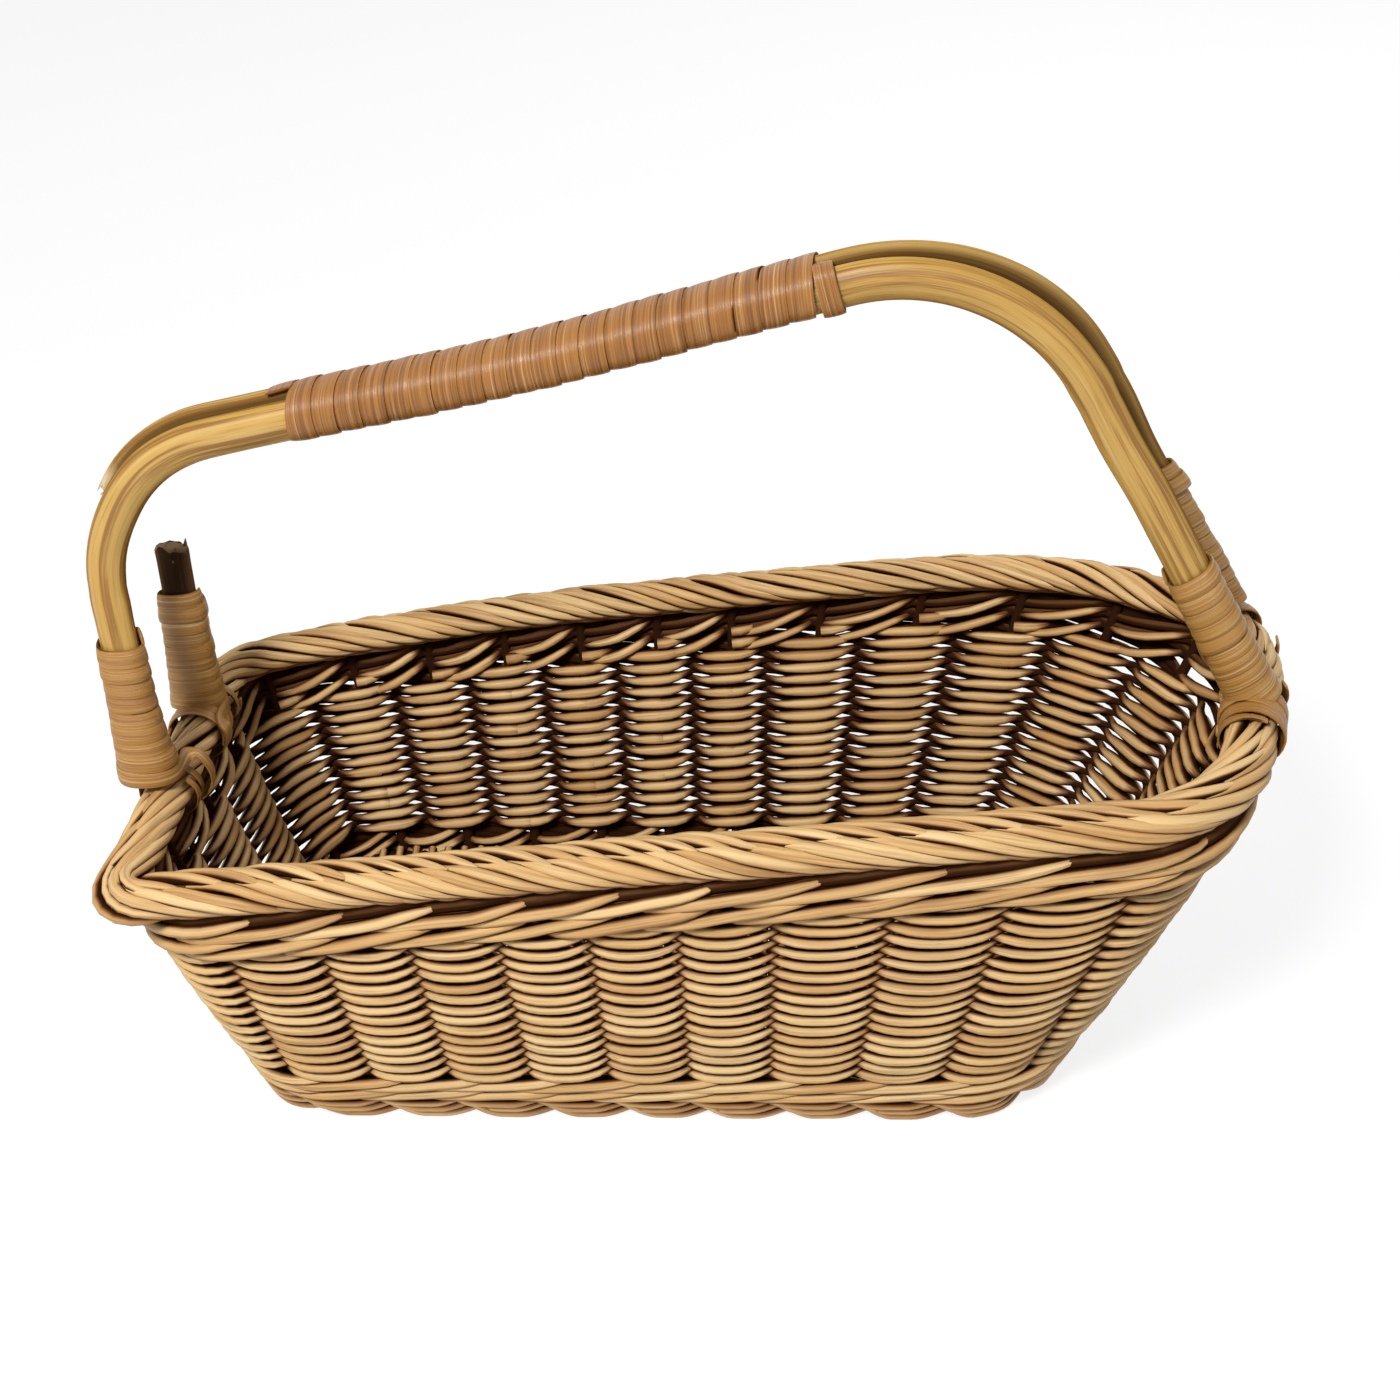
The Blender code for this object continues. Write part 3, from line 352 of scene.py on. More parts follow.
# the stub's dark tone is partly its weathered age and partly painted shade; its shade and crevice colours
# are painted shade
oldShadedCaneLook = dict(caneLook, tones=((0.150, 0.068, 0.030), (0.230, 0.120, 0.057), (0.350, 0.205, 0.105)),
                   dark=(0.070, 0.034, 0.017), light=(0.30, 0.190, 0.10), stain=(0.035, 0.018, 0.009),
                   shade=(0.055, 0.028, 0.014), paintedCreviceShade=(0.030, 0.015, 0.008), gloss=0.15,
                   streakAround=6.0, streakDark=0.6, fineDark=0.45, patchDark=0.4,
                   torn=(0.33, 0.215, 0.115), roughLow=0.62, roughHigh=0.85, bump=0.6)

reedFinish = fibreMaterial("peeledReed", reedLook)
caneFinish = fibreMaterial("yellowCane", caneLook)
gripFinish = fibreMaterial("gripPeel", peelLook)
legFinish = fibreMaterial("legPeel", legPeelLook)
oldShadedCaneFinish = fibreMaterial("weatheredAndShadedCane", oldShadedCaneLook)
print("finishes made")


# one tree that lays rods on paths

def rodTree():
    tree = bpy.data.node_groups.new("rodsOnPaths", "GeometryNodeTree")
    face = tree.interface
    face.new_socket("Geometry", in_out="OUTPUT", socket_type="NodeSocketGeometry")
    for label, kind in (("Geometry", "Geometry"), ("Sides", "Int"), ("Bend size", "Float"),
                        ("Bends per metre", "Float"), ("Girth change", "Float"),
                        ("Shade below", "Float"), ("Seed", "Int"), ("Finish", "Material")):
        face.new_socket(label, in_out="INPUT", socket_type=f"NodeSocket{kind}")
    given = addNode(tree, "NodeGroupInput").outputs
    result = addNode(tree, "NodeGroupOutput").inputs[0]

    def geometryNode(kind, inputs, output, **settings):
        return addNode(tree, "GeometryNode" + kind, inputs, **settings).outputs[output]

    def named(attribute, kind="FLOAT"):
        return geometryNode("InputNamedAttribute", {"Name": attribute}, "Attribute", data_type=kind)

    def store(geometry, attribute, value, kind="FLOAT"):
        inputs = {"Geometry": geometry, "Name": attribute, "Value": value}
        return geometryNode("StoreNamedAttribute", inputs, "Geometry", data_type=kind, domain="POINT")

    # the path, a little bent
    paths = geometryNode("MeshToCurve", {"Mesh": given["Geometry"]}, "Curve")
    place = geometryNode("InputPosition", {}, 0)
    seed = mathNode(tree, "MULTIPLY_ADD", named("rodSeed"), 90.0, given["Seed"])
    bends = noiseNode(tree, place, seed, given["Bends per metre"], 1.0)
    swing = vectorNode(tree, "SUBTRACT", bends.outputs["Color"], (0.5, 0.5, 0.5))
    bent = addNode(tree, "ShaderNodeVectorMath", {0: swing, "Scale": given["Bend size"]}, operation="SCALE")
    moved = geometryNode("SetPosition", {"Geometry": paths, "Offset": bent.outputs["Vector"]}, "Geometry")
    route = store(moved, "along", geometryNode("SplineParameter", {}, "Length"))

    # the rod round it
    circle = geometryNode("CurvePrimitiveCircle", {"Resolution": given["Sides"], "Radius": 1.0}, "Curve",
                          mode="RADIUS")
    swell = mathNode(tree, "MULTIPLY_ADD", mathNode(tree, "SUBTRACT", bends.outputs["Fac"], 0.5),
                     given["Girth change"], 1.0)
    girth = mathNode(tree, "MULTIPLY", named("rodRadius"), swell)
    sweep = geometryNode("CurveToMesh", {
        "Curve": route, "Profile Curve": store(circle, "ring", place, "FLOAT_VECTOR"), "Scale": girth,
        "Fill Caps": True}, "Mesh")
    smooth = geometryNode("SetShadeSmooth", {"Geometry": sweep}, "Geometry")

    # what the finish reads: place in the fibre, and how far the face looks outwards and up, which sets its
    # painted shade
    ring = addNode(tree, "ShaderNodeSeparateXYZ", {0: named("ring", "FLOAT_VECTOR")}).outputs
    fibre = addNode(tree, "ShaderNodeCombineXYZ", {0: ring[0], 1: ring[1], 2: named("along")}).outputs[0]
    shape = store(smooth, "fibre", fibre, "FLOAT_VECTOR")
    normal = geometryNode("InputNormal", {}, 0)
    outwards = vectorNode(tree, "DOT_PRODUCT", normal, named("outward", "FLOAT_VECTOR"))
    upwards = addNode(tree, "ShaderNodeSeparateXYZ", {0: normal}).outputs[2]
    # faces turned down read lower, so painted shade darkens the undersides
    above = mathNode(tree, "MULTIPLY", upwards, given["Shade below"])
    shape = store(shape, "facing", mathNode(tree, "MULTIPLY_ADD", outwards, 0.88, above))
    real = geometryNode("RealizeInstances", {"Geometry": shape}, "Geometry")
    painted = geometryNode("SetMaterial", {"Geometry": real, "Material": given["Finish"]}, "Geometry")
    feed(tree, result, painted)
    return tree


rodsOnPaths = rodTree()
# Shade below: how much faces turned down read lower, and so take more painted shade
rodDefaults = {"Sides": 8, "Bend size": 0.0006, "Bends per metre": 60.0, "Girth change": 0.16,
               "Shade below": 0.42, "Seed": 4, "Finish": reedFinish}


def addItem(name, data):
    item = bpy.data.objects.new(name, data)
    bpy.context.scene.collection.objects.link(item)
    return item


def addAttributes(mesh, vectors, numbers):
    for kind, field, group in (("FLOAT_VECTOR", "vector", vectors), ("FLOAT", "value", numbers)):
        for label, values in group.items():
            mesh.attributes.new(label, kind, "POINT").data.foreach_set(field, values)


def finishPiece(item, nodes):
    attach(item, "root")
    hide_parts(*nodes)
    print(f"{item.name}: {len(item.data.polygons)} faces")


def layRods(name, rods, nodes, **changes):  # a rod: its stations, each point, girth, outward way; seed
    verts, edges, radii, seeds, outs = [], [], [], [], []
    for stations, seed in rods:
        for i, (point, girth, out) in enumerate(stations):
            if i:
                edges.append((len(verts) - 1, len(verts)))
            verts.append(point + originShift)
            radii.append(girth)
            seeds.append(seed)
            outs.extend(out)
    mesh = bpy.data.meshes.new(name + "Paths")
    mesh.from_pydata(verts, edges, [])
    addAttributes(mesh, {"outward": outs}, {"rodRadius": radii, "rodSeed": seeds})
    paths = addItem(name + "Paths", mesh)
    modifier = paths.modifiers.new("rods", "NODES")
    modifier.node_group = rodsOnPaths
    values = dict(rodDefaults, **changes)
    for socket in rodsOnPaths.interface.items_tree:
        if socket.in_out == "INPUT" and socket.name in values:
            modifier[socket.identifier] = values[socket.name]
    graph = bpy.context.evaluated_depsgraph_get()
    solid = bpy.data.meshes.new_from_object(paths.evaluated_get(graph),
                                            preserve_all_data_layers=True, depsgraph=graph)
    bpy.data.objects.remove(paths, do_unlink=True)
    finishPiece(addItem(name, solid), nodes)


def throughTable(table, period):  # a smooth closed line through rows of place and values
    places = [row[0] for row in table]
    count = len(table)

    def reading(u):
        u = (u - places[0]) % period + places[0]
        i = max(k for k in range(count) if places[k] <= u)
        spots = [i - 1, i, i + 1, i + 2]
        at = [places[k % count] + period * (k // count) for k in spots]
        t = (u - at[1]) / (at[2] - at[1])
        values = []
        for column in range(1, len(table[0])):
            p0, p1, p2, p3 = (table[k % count][column] for k in spots)
            m1 = (p2 - p0) / (at[2] - at[0]) * (at[2] - at[1])
            m2 = (p3 - p1) / (at[3] - at[1]) * (at[2] - at[1])
            values.append((2 * t ** 3 - 3 * t ** 2 + 1) * p1 + (t ** 3 - 2 * t ** 2 + t) * m1
                          + (3 * t ** 2 - 2 * t ** 3) * p2 + (t ** 3 - t ** 2) * m2)
        return values
    return reading


# side weave and wales

sideWeave = dict(
    rowPitch=0.00415, steps=9, bare=1.0, reachOut=0.00285, reachIn=0.0029, seed=11,
    radius=0.00146, unevenRise=0.11, unevenReach=0.08, endStake=13.0, overlap=0.6,
    # place in stakes from the front of a stake, reach, rise in rows, girth
    path=((0.00, 1.00, -0.20, 1.02), (0.22, 1.00, -0.11, 1.00), (0.40, 0.86, 0.12, 0.86),
          (0.53, 0.52, 0.34, 0.66), (0.66, -0.20, 0.46, 0.76), (0.82, -0.85, 0.38, 1.10),
          (1.00, -1.00, 0.30, 1.26), (1.20, -0.94, 0.22, 1.20), (1.38, -0.58, 0.04, 0.90),
          (1.50, -0.10, -0.08, 0.76), (1.63, 0.50, -0.04, 0.86), (1.80, 0.92, -0.13, 1.00)),
)
wale = dict(
    steps=8, reachOut=0.0033, reachIn=0.0030, unevenRise=0.14, unevenReach=0.08,
    endStake=13.0, overlap=3.0,
    path=((-1.00, -0.05, -0.50, 0.80), (-0.74, 0.62, -0.44, 0.96), (-0.32, 0.96, -0.24, 1.04),
          (0.30, 1.06, 0.12, 1.06), (0.72, 0.98, 0.40, 1.00), (0.98, 0.62, 0.56, 0.82),
          (1.20, -0.45, 0.48, 0.78), (1.50, -1.00, 0.00, 0.90), (1.80, -0.55, -0.42, 0.78)),
)


def wovenStrand(shape, reading, period, phase, start, stakes, height, pitch, radius, rand):
    seed = rand.random()
    bulk = radius * (1 + rand.uniform(-0.07, 0.07))
    stations = []
    for i in range(int(stakes * shape["steps"]) + 1):
        stake = start + i / shape["steps"]
        reach, rise, size = reading((stake - phase) % period)
        middle = height(stake)
        rise += shape["unevenRise"] * waver(stake * 0.9, middle * 700, phase * 7.3)
        reach *= 1 + shape["unevenReach"] * waver(stake * 0.8, middle * 400, 5.1)
        offset = reach * (shape["reachOut"] if reach > 0 else shape["reachIn"])
        point, normal = wallAt(stake, levelAt(middle + rise * pitch), offset)
        # inner strands, and bands less bare, get a shorter outward way and so more painted shade
        bare = max(-1.0, min(1.0, 1.7 * reach)) * shape["bare"]
        stations.append((point, bulk * size, normal * bare))
    return stations, seed


def wallTop(stake):  # height of the rim's middle over a place on the ring
    return rimHeight(wallPlan.at(rimDistance(stakeDistance(stake)))[0].x)


def rowReach(height):  # the stakes between which a level row clears the upper wale
    middle = basePlan.highMiddle / stakePitch
    ends = []
    for way in (-1, 1):
        away = 0.0
        while away < basket.stakes / 2 and weaveTop(wallTop(middle + way * away)) > height:
            away += 0.25
        ends.append(middle + way * away)
    return ends


def makeSideWeave():
    rand = Random(sideWeave["seed"])
    reading = throughTable(sideWeave["path"], 2.0)
    pitch = sideWeave["rowPitch"]
    top = weaveTop(basket.highHeight)
    rods = []
    for row in range(int((top - basket.weaveBottom) / pitch + 0.9)):
        middle = basket.weaveBottom + (row + 0.5) * pitch
        first, last = rowReach(middle - 0.8 * pitch)
        for strand in range(2):
            start = sideWeave["endStake"] + strand + 2 * rand.randrange(3)  # ends meet behind a rear stake
            stakes = basket.stakes + sideWeave["overlap"]
            if last - first < basket.stakes - 0.5:
                start = round(first) + strand
                stakes = round(last) - start + (round(last) - start) % 2
            rods.append(wovenStrand(sideWeave, reading, 2.0, start - 1.0, start, stakes,
                                    lambda stake: middle, pitch, sideWeave["radius"], rand))
    layRods("sideWeave", rods, ["side_weave"])


def makeWale(name, node, shape, bands, seed):  # low, high, rows, radius, share of the reach, how bare
    rand = Random(seed)
    reading = throughTable(shape["path"], 3.0)
    rods = []
    for low, high, rows, radius, reach, bare in bands:
        form = dict(shape, reachOut=shape["reachOut"] * reach, reachIn=shape["reachIn"] * reach, bare=bare)
        pitch = (high(0.1) - low(0.1)) / rows
        for row in range(rows):
            for strand in range(3):
                phase = strand + row

                def height(stake):
                    top = wallTop(stake)
                    return mix(low(top), high(top), (row + 0.5) / rows)

                rods.append(wovenStrand(form, reading, 3.0, phase, phase + shape["endStake"],
                                        basket.stakes + shape["overlap"], height, pitch, radius, rand))
    layRods(name, rods, [node])


upperWale = dict(wale, reachOut=0.0043, reachIn=0.0033, path=(
    (-1.00, -0.05, -0.52, 0.70), (-0.74, 0.62, -0.46, 0.92), (-0.32, 0.96, -0.28, 1.06),
    (0.30, 1.06, 0.12, 1.10), (0.72, 0.98, 0.42, 0.98), (0.98, 0.62, 0.56, 0.62),
    (1.20, -0.45, 0.44, 0.74), (1.50, -1.00, 0.00, 0.90), (1.80, -0.55, -0.42, 0.76)))
makeSideWeave()
makeWale("lowerWale", "lower_wale", wale,
         [(levelAt(basket.footTop), levelAt(basket.lowerWaleTop), 2, 0.00150, 1.0, 1.0)], 21)
makeWale("upperWale", "upper_wale", upperWale,
         [(lambda top: upperBottom(top) + 0.0016, lambda top: upperTop(top) + 0.0010, 2, 0.00166, 1.0, 1.0),
          # the recessed band under the rim is barely bare, so it is dark with painted shade
          (lambda top: upperTop(top) - 0.0036, lambda top: upperTop(top) + 0.0028, 2, 0.00165, 0.5, 0.19)],
         22)


# stakes

stakeRods = SimpleNamespace(radius=0.0016, below=1.06, above=0.96, intoRim=0.001, levels=8, seed=31)


def makeStakes():
    rand = Random(stakeRods.seed)
    count = stakeRods.levels + 1
    rods = []
    for stake in range(basket.stakes):
        stations = []
        for i in range(count):

            def level(top):
                high = top - basket.borderReach + stakeRods.intoRim
                return mix(basket.footTop, high, i / stakeRods.levels)

            point, normal = wallAt(stake, level)
            girth = stakeRods.radius * mix(stakeRods.below, stakeRods.above, i / count)
            # half an outward way: the stakes take painted shade all over, darkest on their inner side
            stations.append((point, girth, normal * 0.5))
        rods.append((stations, rand.random()))
    names = [f"stake_{number + 1:02d}" for number in range(basket.stakes)]
    layRods("stakes", rods, names, **{"Bend size": 0.0003})


makeStakes()


# rim border

rimRods = SimpleNamespace(
    width=0.0134, height=0.0120, perStake=3, radius=0.00176, seed=43,
    # inner, outer and under: degrees from, to and per stake, steps, tuck, lift, share of the corner's stray
    tiers=((218.0, 56.0, 104.0, 20, 0.0012, 0.0003, 1.0), (104.0, -58.0, 100.0, 20, 0.0026, 0.0, 0.8),
           (-26.0, -160.0, 100.0, 14, 0.0, -0.0011, 0.0)),
    unevenFrom=6.0, unevenTo=7.0, unevenLift=0.0003, unevenPlace=0.16,
    coreRadius=0.0034, coreSteps=4, cornerStray=0.0030, cornerSpan=0.36,
)
cornerStake = min((i / 8 for i in range(8 * basket.stakes)),
                  key=lambda place: rimAt(place)[0].x + rimAt(place)[0].y)


def rimStroke(stake, tier, radius, rand):
    begin, stop, perStake, steps, tuck, lift, stray = tier
    begin += rand.uniform(-rimRods.unevenFrom, rimRods.unevenFrom)
    stop += rand.uniform(-rimRods.unevenTo, rimRods.unevenTo)
    lift += rand.uniform(-rimRods.unevenLift, rimRods.unevenLift)
    stray *= rand.choice((0.0, 0.0, 0.55, 1.0)) * rimRods.cornerStray
    half = basket.stakes / 2
    stations = []
    for share in evenShares(steps):
        angle = radians(mix(begin, stop, share))
        place = stake + (begin - stop) / perStake * share
        centre, normal = rimAt(place)
        away = ((place - cornerStake + half) % basket.stakes - half) / rimRods.cornerSpan
        inset = radius + tuck * (1 - soften(share / 0.36)) - lift * soften(share / 0.5)
        out = normal * (cos(angle) * (rimRods.width / 2 - inset))
        up = Vector((0.0, 0.0, sin(angle) * (rimRods.height / 2 - inset)))
        point = centre + normal * (stray * exp(-away * away)) + out + up
        tip = mix(0.30, 1.0, min(1.0, (1 - share) / 0.26) ** 0.6)
        girth = radius * mix(0.55, 1.0, soften(share / 0.14)) * tip
        stations.append((point, girth, (out + up).normalized()))
    return stations, rand.random()


def makeRimBorder():
    rand = Random(rimRods.seed)
    uneven = rimRods.unevenPlace
    rods = []
    for stake in range(basket.stakes):
        for k in range(rimRods.perStake):
            for tier in rimRods.tiers:
                place = stake + (k + rand.uniform(-uneven, uneven)) / rimRods.perStake
                size = rimRods.radius * rand.uniform(0.86, 1.10)
                rods.append(rimStroke(place, tier, size, rand))
    places = [i / rimRods.coreSteps for i in range(basket.stakes * rimRods.coreSteps + 1)]
    # the hidden core has no outward way, so it is dark with painted shade
    rods.append(([(rimAt(place)[0], rimRods.coreRadius, Vector()) for place in places], 0.3))
    layRods("rimBorder", rods, ["rim_border"], **{"Bend size": 0.0008})


makeRimBorder()


# foot border

footRods = SimpleNamespace(
    radius=0.00138, perStake=3, start=-0.50, span=1.46, stagger=0.07, steps=22,
    outer=0.0043, topHeight=0.0066, lowHeight=0.0014, bundleRise=0.0020,
    endRise=0.0011, endTuck=0.0036, seed=51,
    # the part that runs back under the base
    backRadius=0.0016, backStart=0.3, backSpan=1.1, backSteps=8,
    backLow=0.0022, backHigh=0.0044, backReach=-0.0026, backDrift=0.0012,
)


def makeFootBorder():
    rand = Random(footRods.seed)
    rods = []
    for stake in range(basket.stakes):
        for k in range(footRods.perStake):
            size = footRods.radius * rand.uniform(0.9, 1.08)
            above = footRods.perStake - 1 - k
            low = footRods.lowHeight + footRods.bundleRise * above
            stations = []
            for share in evenShares(footRods.steps):
                place = stake + footRods.start + share * footRods.span + footRods.stagger * k
                high = mix(footRods.topHeight, low, soften(share / 0.34))
                high += footRods.endRise * soften((share - 0.60) / 0.40)
                out = footRods.outer * mix(0.60, 1.0, soften(share / 0.18)) - 0.0002 * above
                out -= footRods.endTuck * soften((share - 0.50) / 0.40)
                point, normal = wallAt(place, levelAt(max(high, size + 0.0001)), out)
                girth = size * mix(0.55, 1.0, soften((1 - share) / 0.2))
                # its outward way leans down, so its upper side takes painted shade
                stations.append((point, girth, (normal * 0.8 - Vector((0.0, 0.0, 0.4))).normalized()))
            rods.append((stations, rand.random()))
        stations = []
        for share in evenShares(footRods.backSteps):
            place = stake + footRods.backStart + share * footRods.backSpan
            level = levelAt(mix(footRods.backLow, footRods.backHigh, share))
            point, normal = wallAt(place, level, footRods.backReach + footRods.backDrift * share)
            # the part under the base faces inwards, so its outer side takes painted shade
            stations.append((point, footRods.backRadius, -normal))
        rods.append((stations, rand.random()))
    layRods("footBorder", rods, ["foot_border"], **{"Bend size": 0.0005, "Shade below": 0.2})


makeFootBorder()


# woven base and its sticks

base = SimpleNamespace(
    radius=0.00138, pitch=0.00262, height=0.0090, lift=0.001612, steps=28,
    wallGap=0.0022, endGap=0.0036, seed=61,
    sticks=5, stickRadius=0.0024, edge=0.0160, stickHeight=0.0082, stickSteps=20,
    shorter=0.004,  # the outermost sticks, at each end
)


def halfWidthAt(x):  # inner half width of the base at a place along it
    reach = basket.baseWidth / 2 - base.wallGap
    for beyond, corner in ((x - basket.baseHigh, basket.baseHighCorner[0][0]),
                           (basket.baseLow - x, basket.baseLowCorner[0][0])):
        away = beyond + corner
        if away > 0:
            inner = corner - base.wallGap
            side = sqrt(max(0.0, inner ** 2 - away ** 2))
            reach = min(reach, basket.baseWidth / 2 - corner + side)
    return reach


def makeBase():
    rand = Random(base.seed)
    pitch = (basket.baseWidth - 2 * base.edge) / (base.sticks - 1)
    low, high = basket.baseLow + base.endGap, basket.baseHigh - base.endGap
    count = int((high - low) / base.pitch)
    rods = []
    for n, x in enumerate(mix(low, high, share) for share in evenShares(count)):
        reach = halfWidthAt(x)
        size = base.radius * rand.uniform(0.93, 1.05)
        stations = []
        for share in evenShares(base.steps):
            y = mix(-reach, reach, share)
            wave = cos(pi * y / pitch) * (1 if n % 2 else -1)
            point = Vector((x, y, base.height + base.lift * wave))
            # the weaver's hidden side, under it where it rides high and over it where it dips, takes
            # painted shade
            stations.append((point, size, Vector((0.0, 0.0, 1.0 if wave > 0 else -1.0))))
        rods.append((stations, rand.random()))
    layRods("baseWeave", rods, ["base_panel"], Sides=7, **{"Shade below": 0.0})
    sticks, names = [], []
    for n in range(base.sticks):
        y = (n - (base.sticks - 1) / 2) * pitch
        short = base.shorter if n in (0, base.sticks - 1) else 0.0
        stations = []
        for share in evenShares(base.stickSteps):
            point = Vector((mix(low + short, high - short, share), y, base.stickHeight))
            # the sticks' tops, hidden under the weave, take painted shade
            stations.append((point, base.stickRadius, Vector((0.0, 0.0, -1.0))))
        sticks.append((stations, rand.random()))
        names.append(f"base_stick_{n + 1}")
    layRods("baseSticks", sticks, names, Sides=10, **{"Bend size": 0.0003, "Shade below": 0.0})


makeBase()


# handle: the arch and its canes

handle = SimpleNamespace(
    gripStart=(-0.0885, 0.1881), gripEnd=(0.0525, 0.2203), gripSag=0.0018,
    lowOutset=0.0022, highInset=0.0024, lowLean=0.085, highLean=0.545,
    lowRadius=0.042, highRadius=0.053, legSpacing=0.0380,
    lowSpread=0.090, spreadAfterGrip=0.0020,
    width=0.0104, outerDepth=0.0039, innerDepth=0.0021,
    tangWidth=0.0050, tangDepth=0.0046, tangBottom=0.0010,
    stubHeight=0.058, stubWidth=0.0094, stubOutset=0.0008, stubLean=0.042,
    sides=20, step=0.0022, twist=0.0009, rearLift=0.0004,
    nodes=(0.052, 0.171, 0.262, 0.345, 0.441), nodeShift=0.012,
    tornReach=0.006, freshLength=0.006, snapAngle=38.0,
)
splinter = SimpleNamespace(sunk=0.002, lean=0.22, size=0.0007, tip=0.00008, wide=1.6, thin=0.7,
                           steps=5, sides=5)


def crossing(a, u, b, v):
    across = u.x * v.y - u.y * v.x
    gap = b - a
    return a + u * ((gap.x * v.y - gap.y * v.x) / across)


class Arch(Route):
    def __init__(self):
        start, end = Vector(handle.gripStart), Vector(handle.gripEnd)
        foot = Vector((basket.rimLow - handle.lowOutset, basket.lowHeight))
        lastFoot = Vector((basket.rimHigh - handle.highInset, basket.highHeight))
        up, grip, down = Vector((-handle.lowLean, 1.0)), end - start, Vector((handle.highLean, -1.0))
        knee, lastKnee = crossing(foot, up, start, grip), crossing(lastFoot, down, start, grip)
        turn, lastTurn = up.angle(grip), grip.angle(down)
        cut = handle.lowRadius * tan(turn / 2)  # what each bend takes off the lines that it joins
        lastCut = handle.highRadius * tan(lastTurn / 2)
        super().__init__(foot, atan2(up.y, up.x))
        self.add(((knee - foot).length - cut, 0), (handle.lowRadius, -degrees(turn)),
                 ((lastKnee - knee).length - cut - lastCut, 0), (handle.highRadius, -degrees(lastTurn)),
                 ((lastFoot - lastKnee).length - lastCut, 0))

    def at(self, distance):
        point, angle, run = self.follow(distance)
        heading = Vector((cos(angle), sin(angle)))
        if run is self.runs[2]:  # the grip sags
            share = pi * (distance - run[0]) / run[1]
            point = point - Vector((0.0, handle.gripSag * sin(share) ** 2))
            fall = Vector((0.0, handle.gripSag * sin(2 * share) * pi / run[1]))
            heading = (heading - fall).normalized()
        return point, heading

    def nearest(self, place):
        spots = [self.length * i / 600 for i in range(601)]
        return min(spots, key=lambda d: (self.at(d)[0] - Vector(place)).length)


arch = Arch()
gripFrom, gripTo = arch.nearest(handle.gripStart), arch.nearest(handle.gripEnd)
caneCentre = handle.innerDepth + 0.0003
tangShoulder = basket.borderReach + 0.0027


def spreadAt(distance):
    parting = gripTo + handle.spreadAfterGrip
    low = 1 - distance / handle.lowSpread
    high = (distance - parting) / (arch.length - parting)
    return mix(caneCentre, handle.legSpacing / 2, soften(max(low, high)))


def legFrame(distance, side):
    point, heading = arch.at(distance)
    slope = (spreadAt(distance + 0.0005) - spreadAt(distance - 0.0005)) / 0.001
    centre = Vector((point.x, side * spreadAt(distance), point.y))
    along = Vector((heading.x, side * slope, heading.y)).normalized()
    return centre, along, Vector((-heading.y, 0.0, heading.x))


def stubFrame(height):
    foot = Vector((basket.rimLow - handle.stubOutset, handle.legSpacing / 2, basket.lowHeight))
    up = Vector((handle.stubLean, 0.0, 1.0)).normalized()
    return foot + up * height, up, Vector((-up.z, 0.0, up.x))


def caneSection(frameAt, side, foot, along, width, seed):
    centre, _, normal = frameAt
    tang = soften((foot - tangShoulder + 0.001) / 0.003)
    wide = mix(handle.tangWidth, width, tang)
    outer = mix(handle.tangDepth / 2, handle.outerDepth, tang)
    inner = mix(handle.tangDepth / 2, handle.innerDepth, tang)
    ring = []
    for j in range(handle.sides):
        angle = 2 * pi * j / handle.sides
        deep = sin(angle)
        flute = 1 + 0.022 * waver(cos(angle) * 1.9, deep * 1.9, along * 26 + seed * 9)
        flute += 0.010 * waver(cos(angle) * 5, deep * 5, along * 9 + seed * 5)
        for node in handle.nodes:  # a slight swelling with a groove above it
            gap = along - node - seed * handle.nodeShift
            flute += 0.030 * exp(-(gap / 0.0030) ** 2) - 0.022 * exp(-((gap - 0.0042) / 0.0012) ** 2)
        across = cos(angle) * wide / 2 * flute
        out = deep * (outer if deep > 0 else inner) * flute
        ring.append(centre + normal * across + Vector((0.0, side * out, 0.0)))
    return ring


def ringMesh(name, rings, finish, seed, fibre, facing, fresh):  # a closed skin over rings of points
    size = len(rings[0])
    verts = [point + originShift for ring in rings for point in ring]
    faces = [tuple(reversed(range(size))), tuple(range(len(verts) - size, len(verts)))]
    for near in range(0, len(verts) - size, size):
        for j in range(size):
            k = (j + 1) % size
            faces.append((near + j, near + k, near + size + k, near + size + j))
    mesh = bpy.data.meshes.new(name)
    mesh.from_pydata(verts, [], faces)
    addAttributes(mesh, {"fibre": fibre},
                  {"rodSeed": [seed] * len(verts), "facing": facing, "fresh": fresh})
    mesh.materials.append(finish)
    mesh.shade_smooth()
    return mesh


def tubeMesh(name, rings, alongs, seed, finish, fresh):
    angles = [2 * pi * j / len(rings[0]) for j in range(len(rings[0]))]
    fibre = [part for along in alongs for angle in angles for part in (cos(angle), sin(angle), along)]
    # facing runs from the outer face round to the inner flat, where the finish paints shade
    return ringMesh(name, rings, finish, seed, fibre, [sin(angle) for angle in angles] * len(rings),
                    [share for share in fresh for angle in angles])


def outwardNormals(mesh):
    work = bmesh.new()
    work.from_mesh(mesh)
    bmesh.ops.recalc_face_normals(work, faces=work.faces)
    work.to_mesh(mesh)
    work.free()


def placeMesh(name, meshes, nodes):  # joins meshes into one object at the origin
    items = []
    for mesh in meshes:
        outwardNormals(mesh)
        items.append(addItem(name, mesh))
    if len(items) > 1:
        with bpy.context.temp_override(active_object=items[0], selected_editable_objects=items):
            bpy.ops.object.join()
    items[0].name = name
    finishPiece(items[0], nodes)


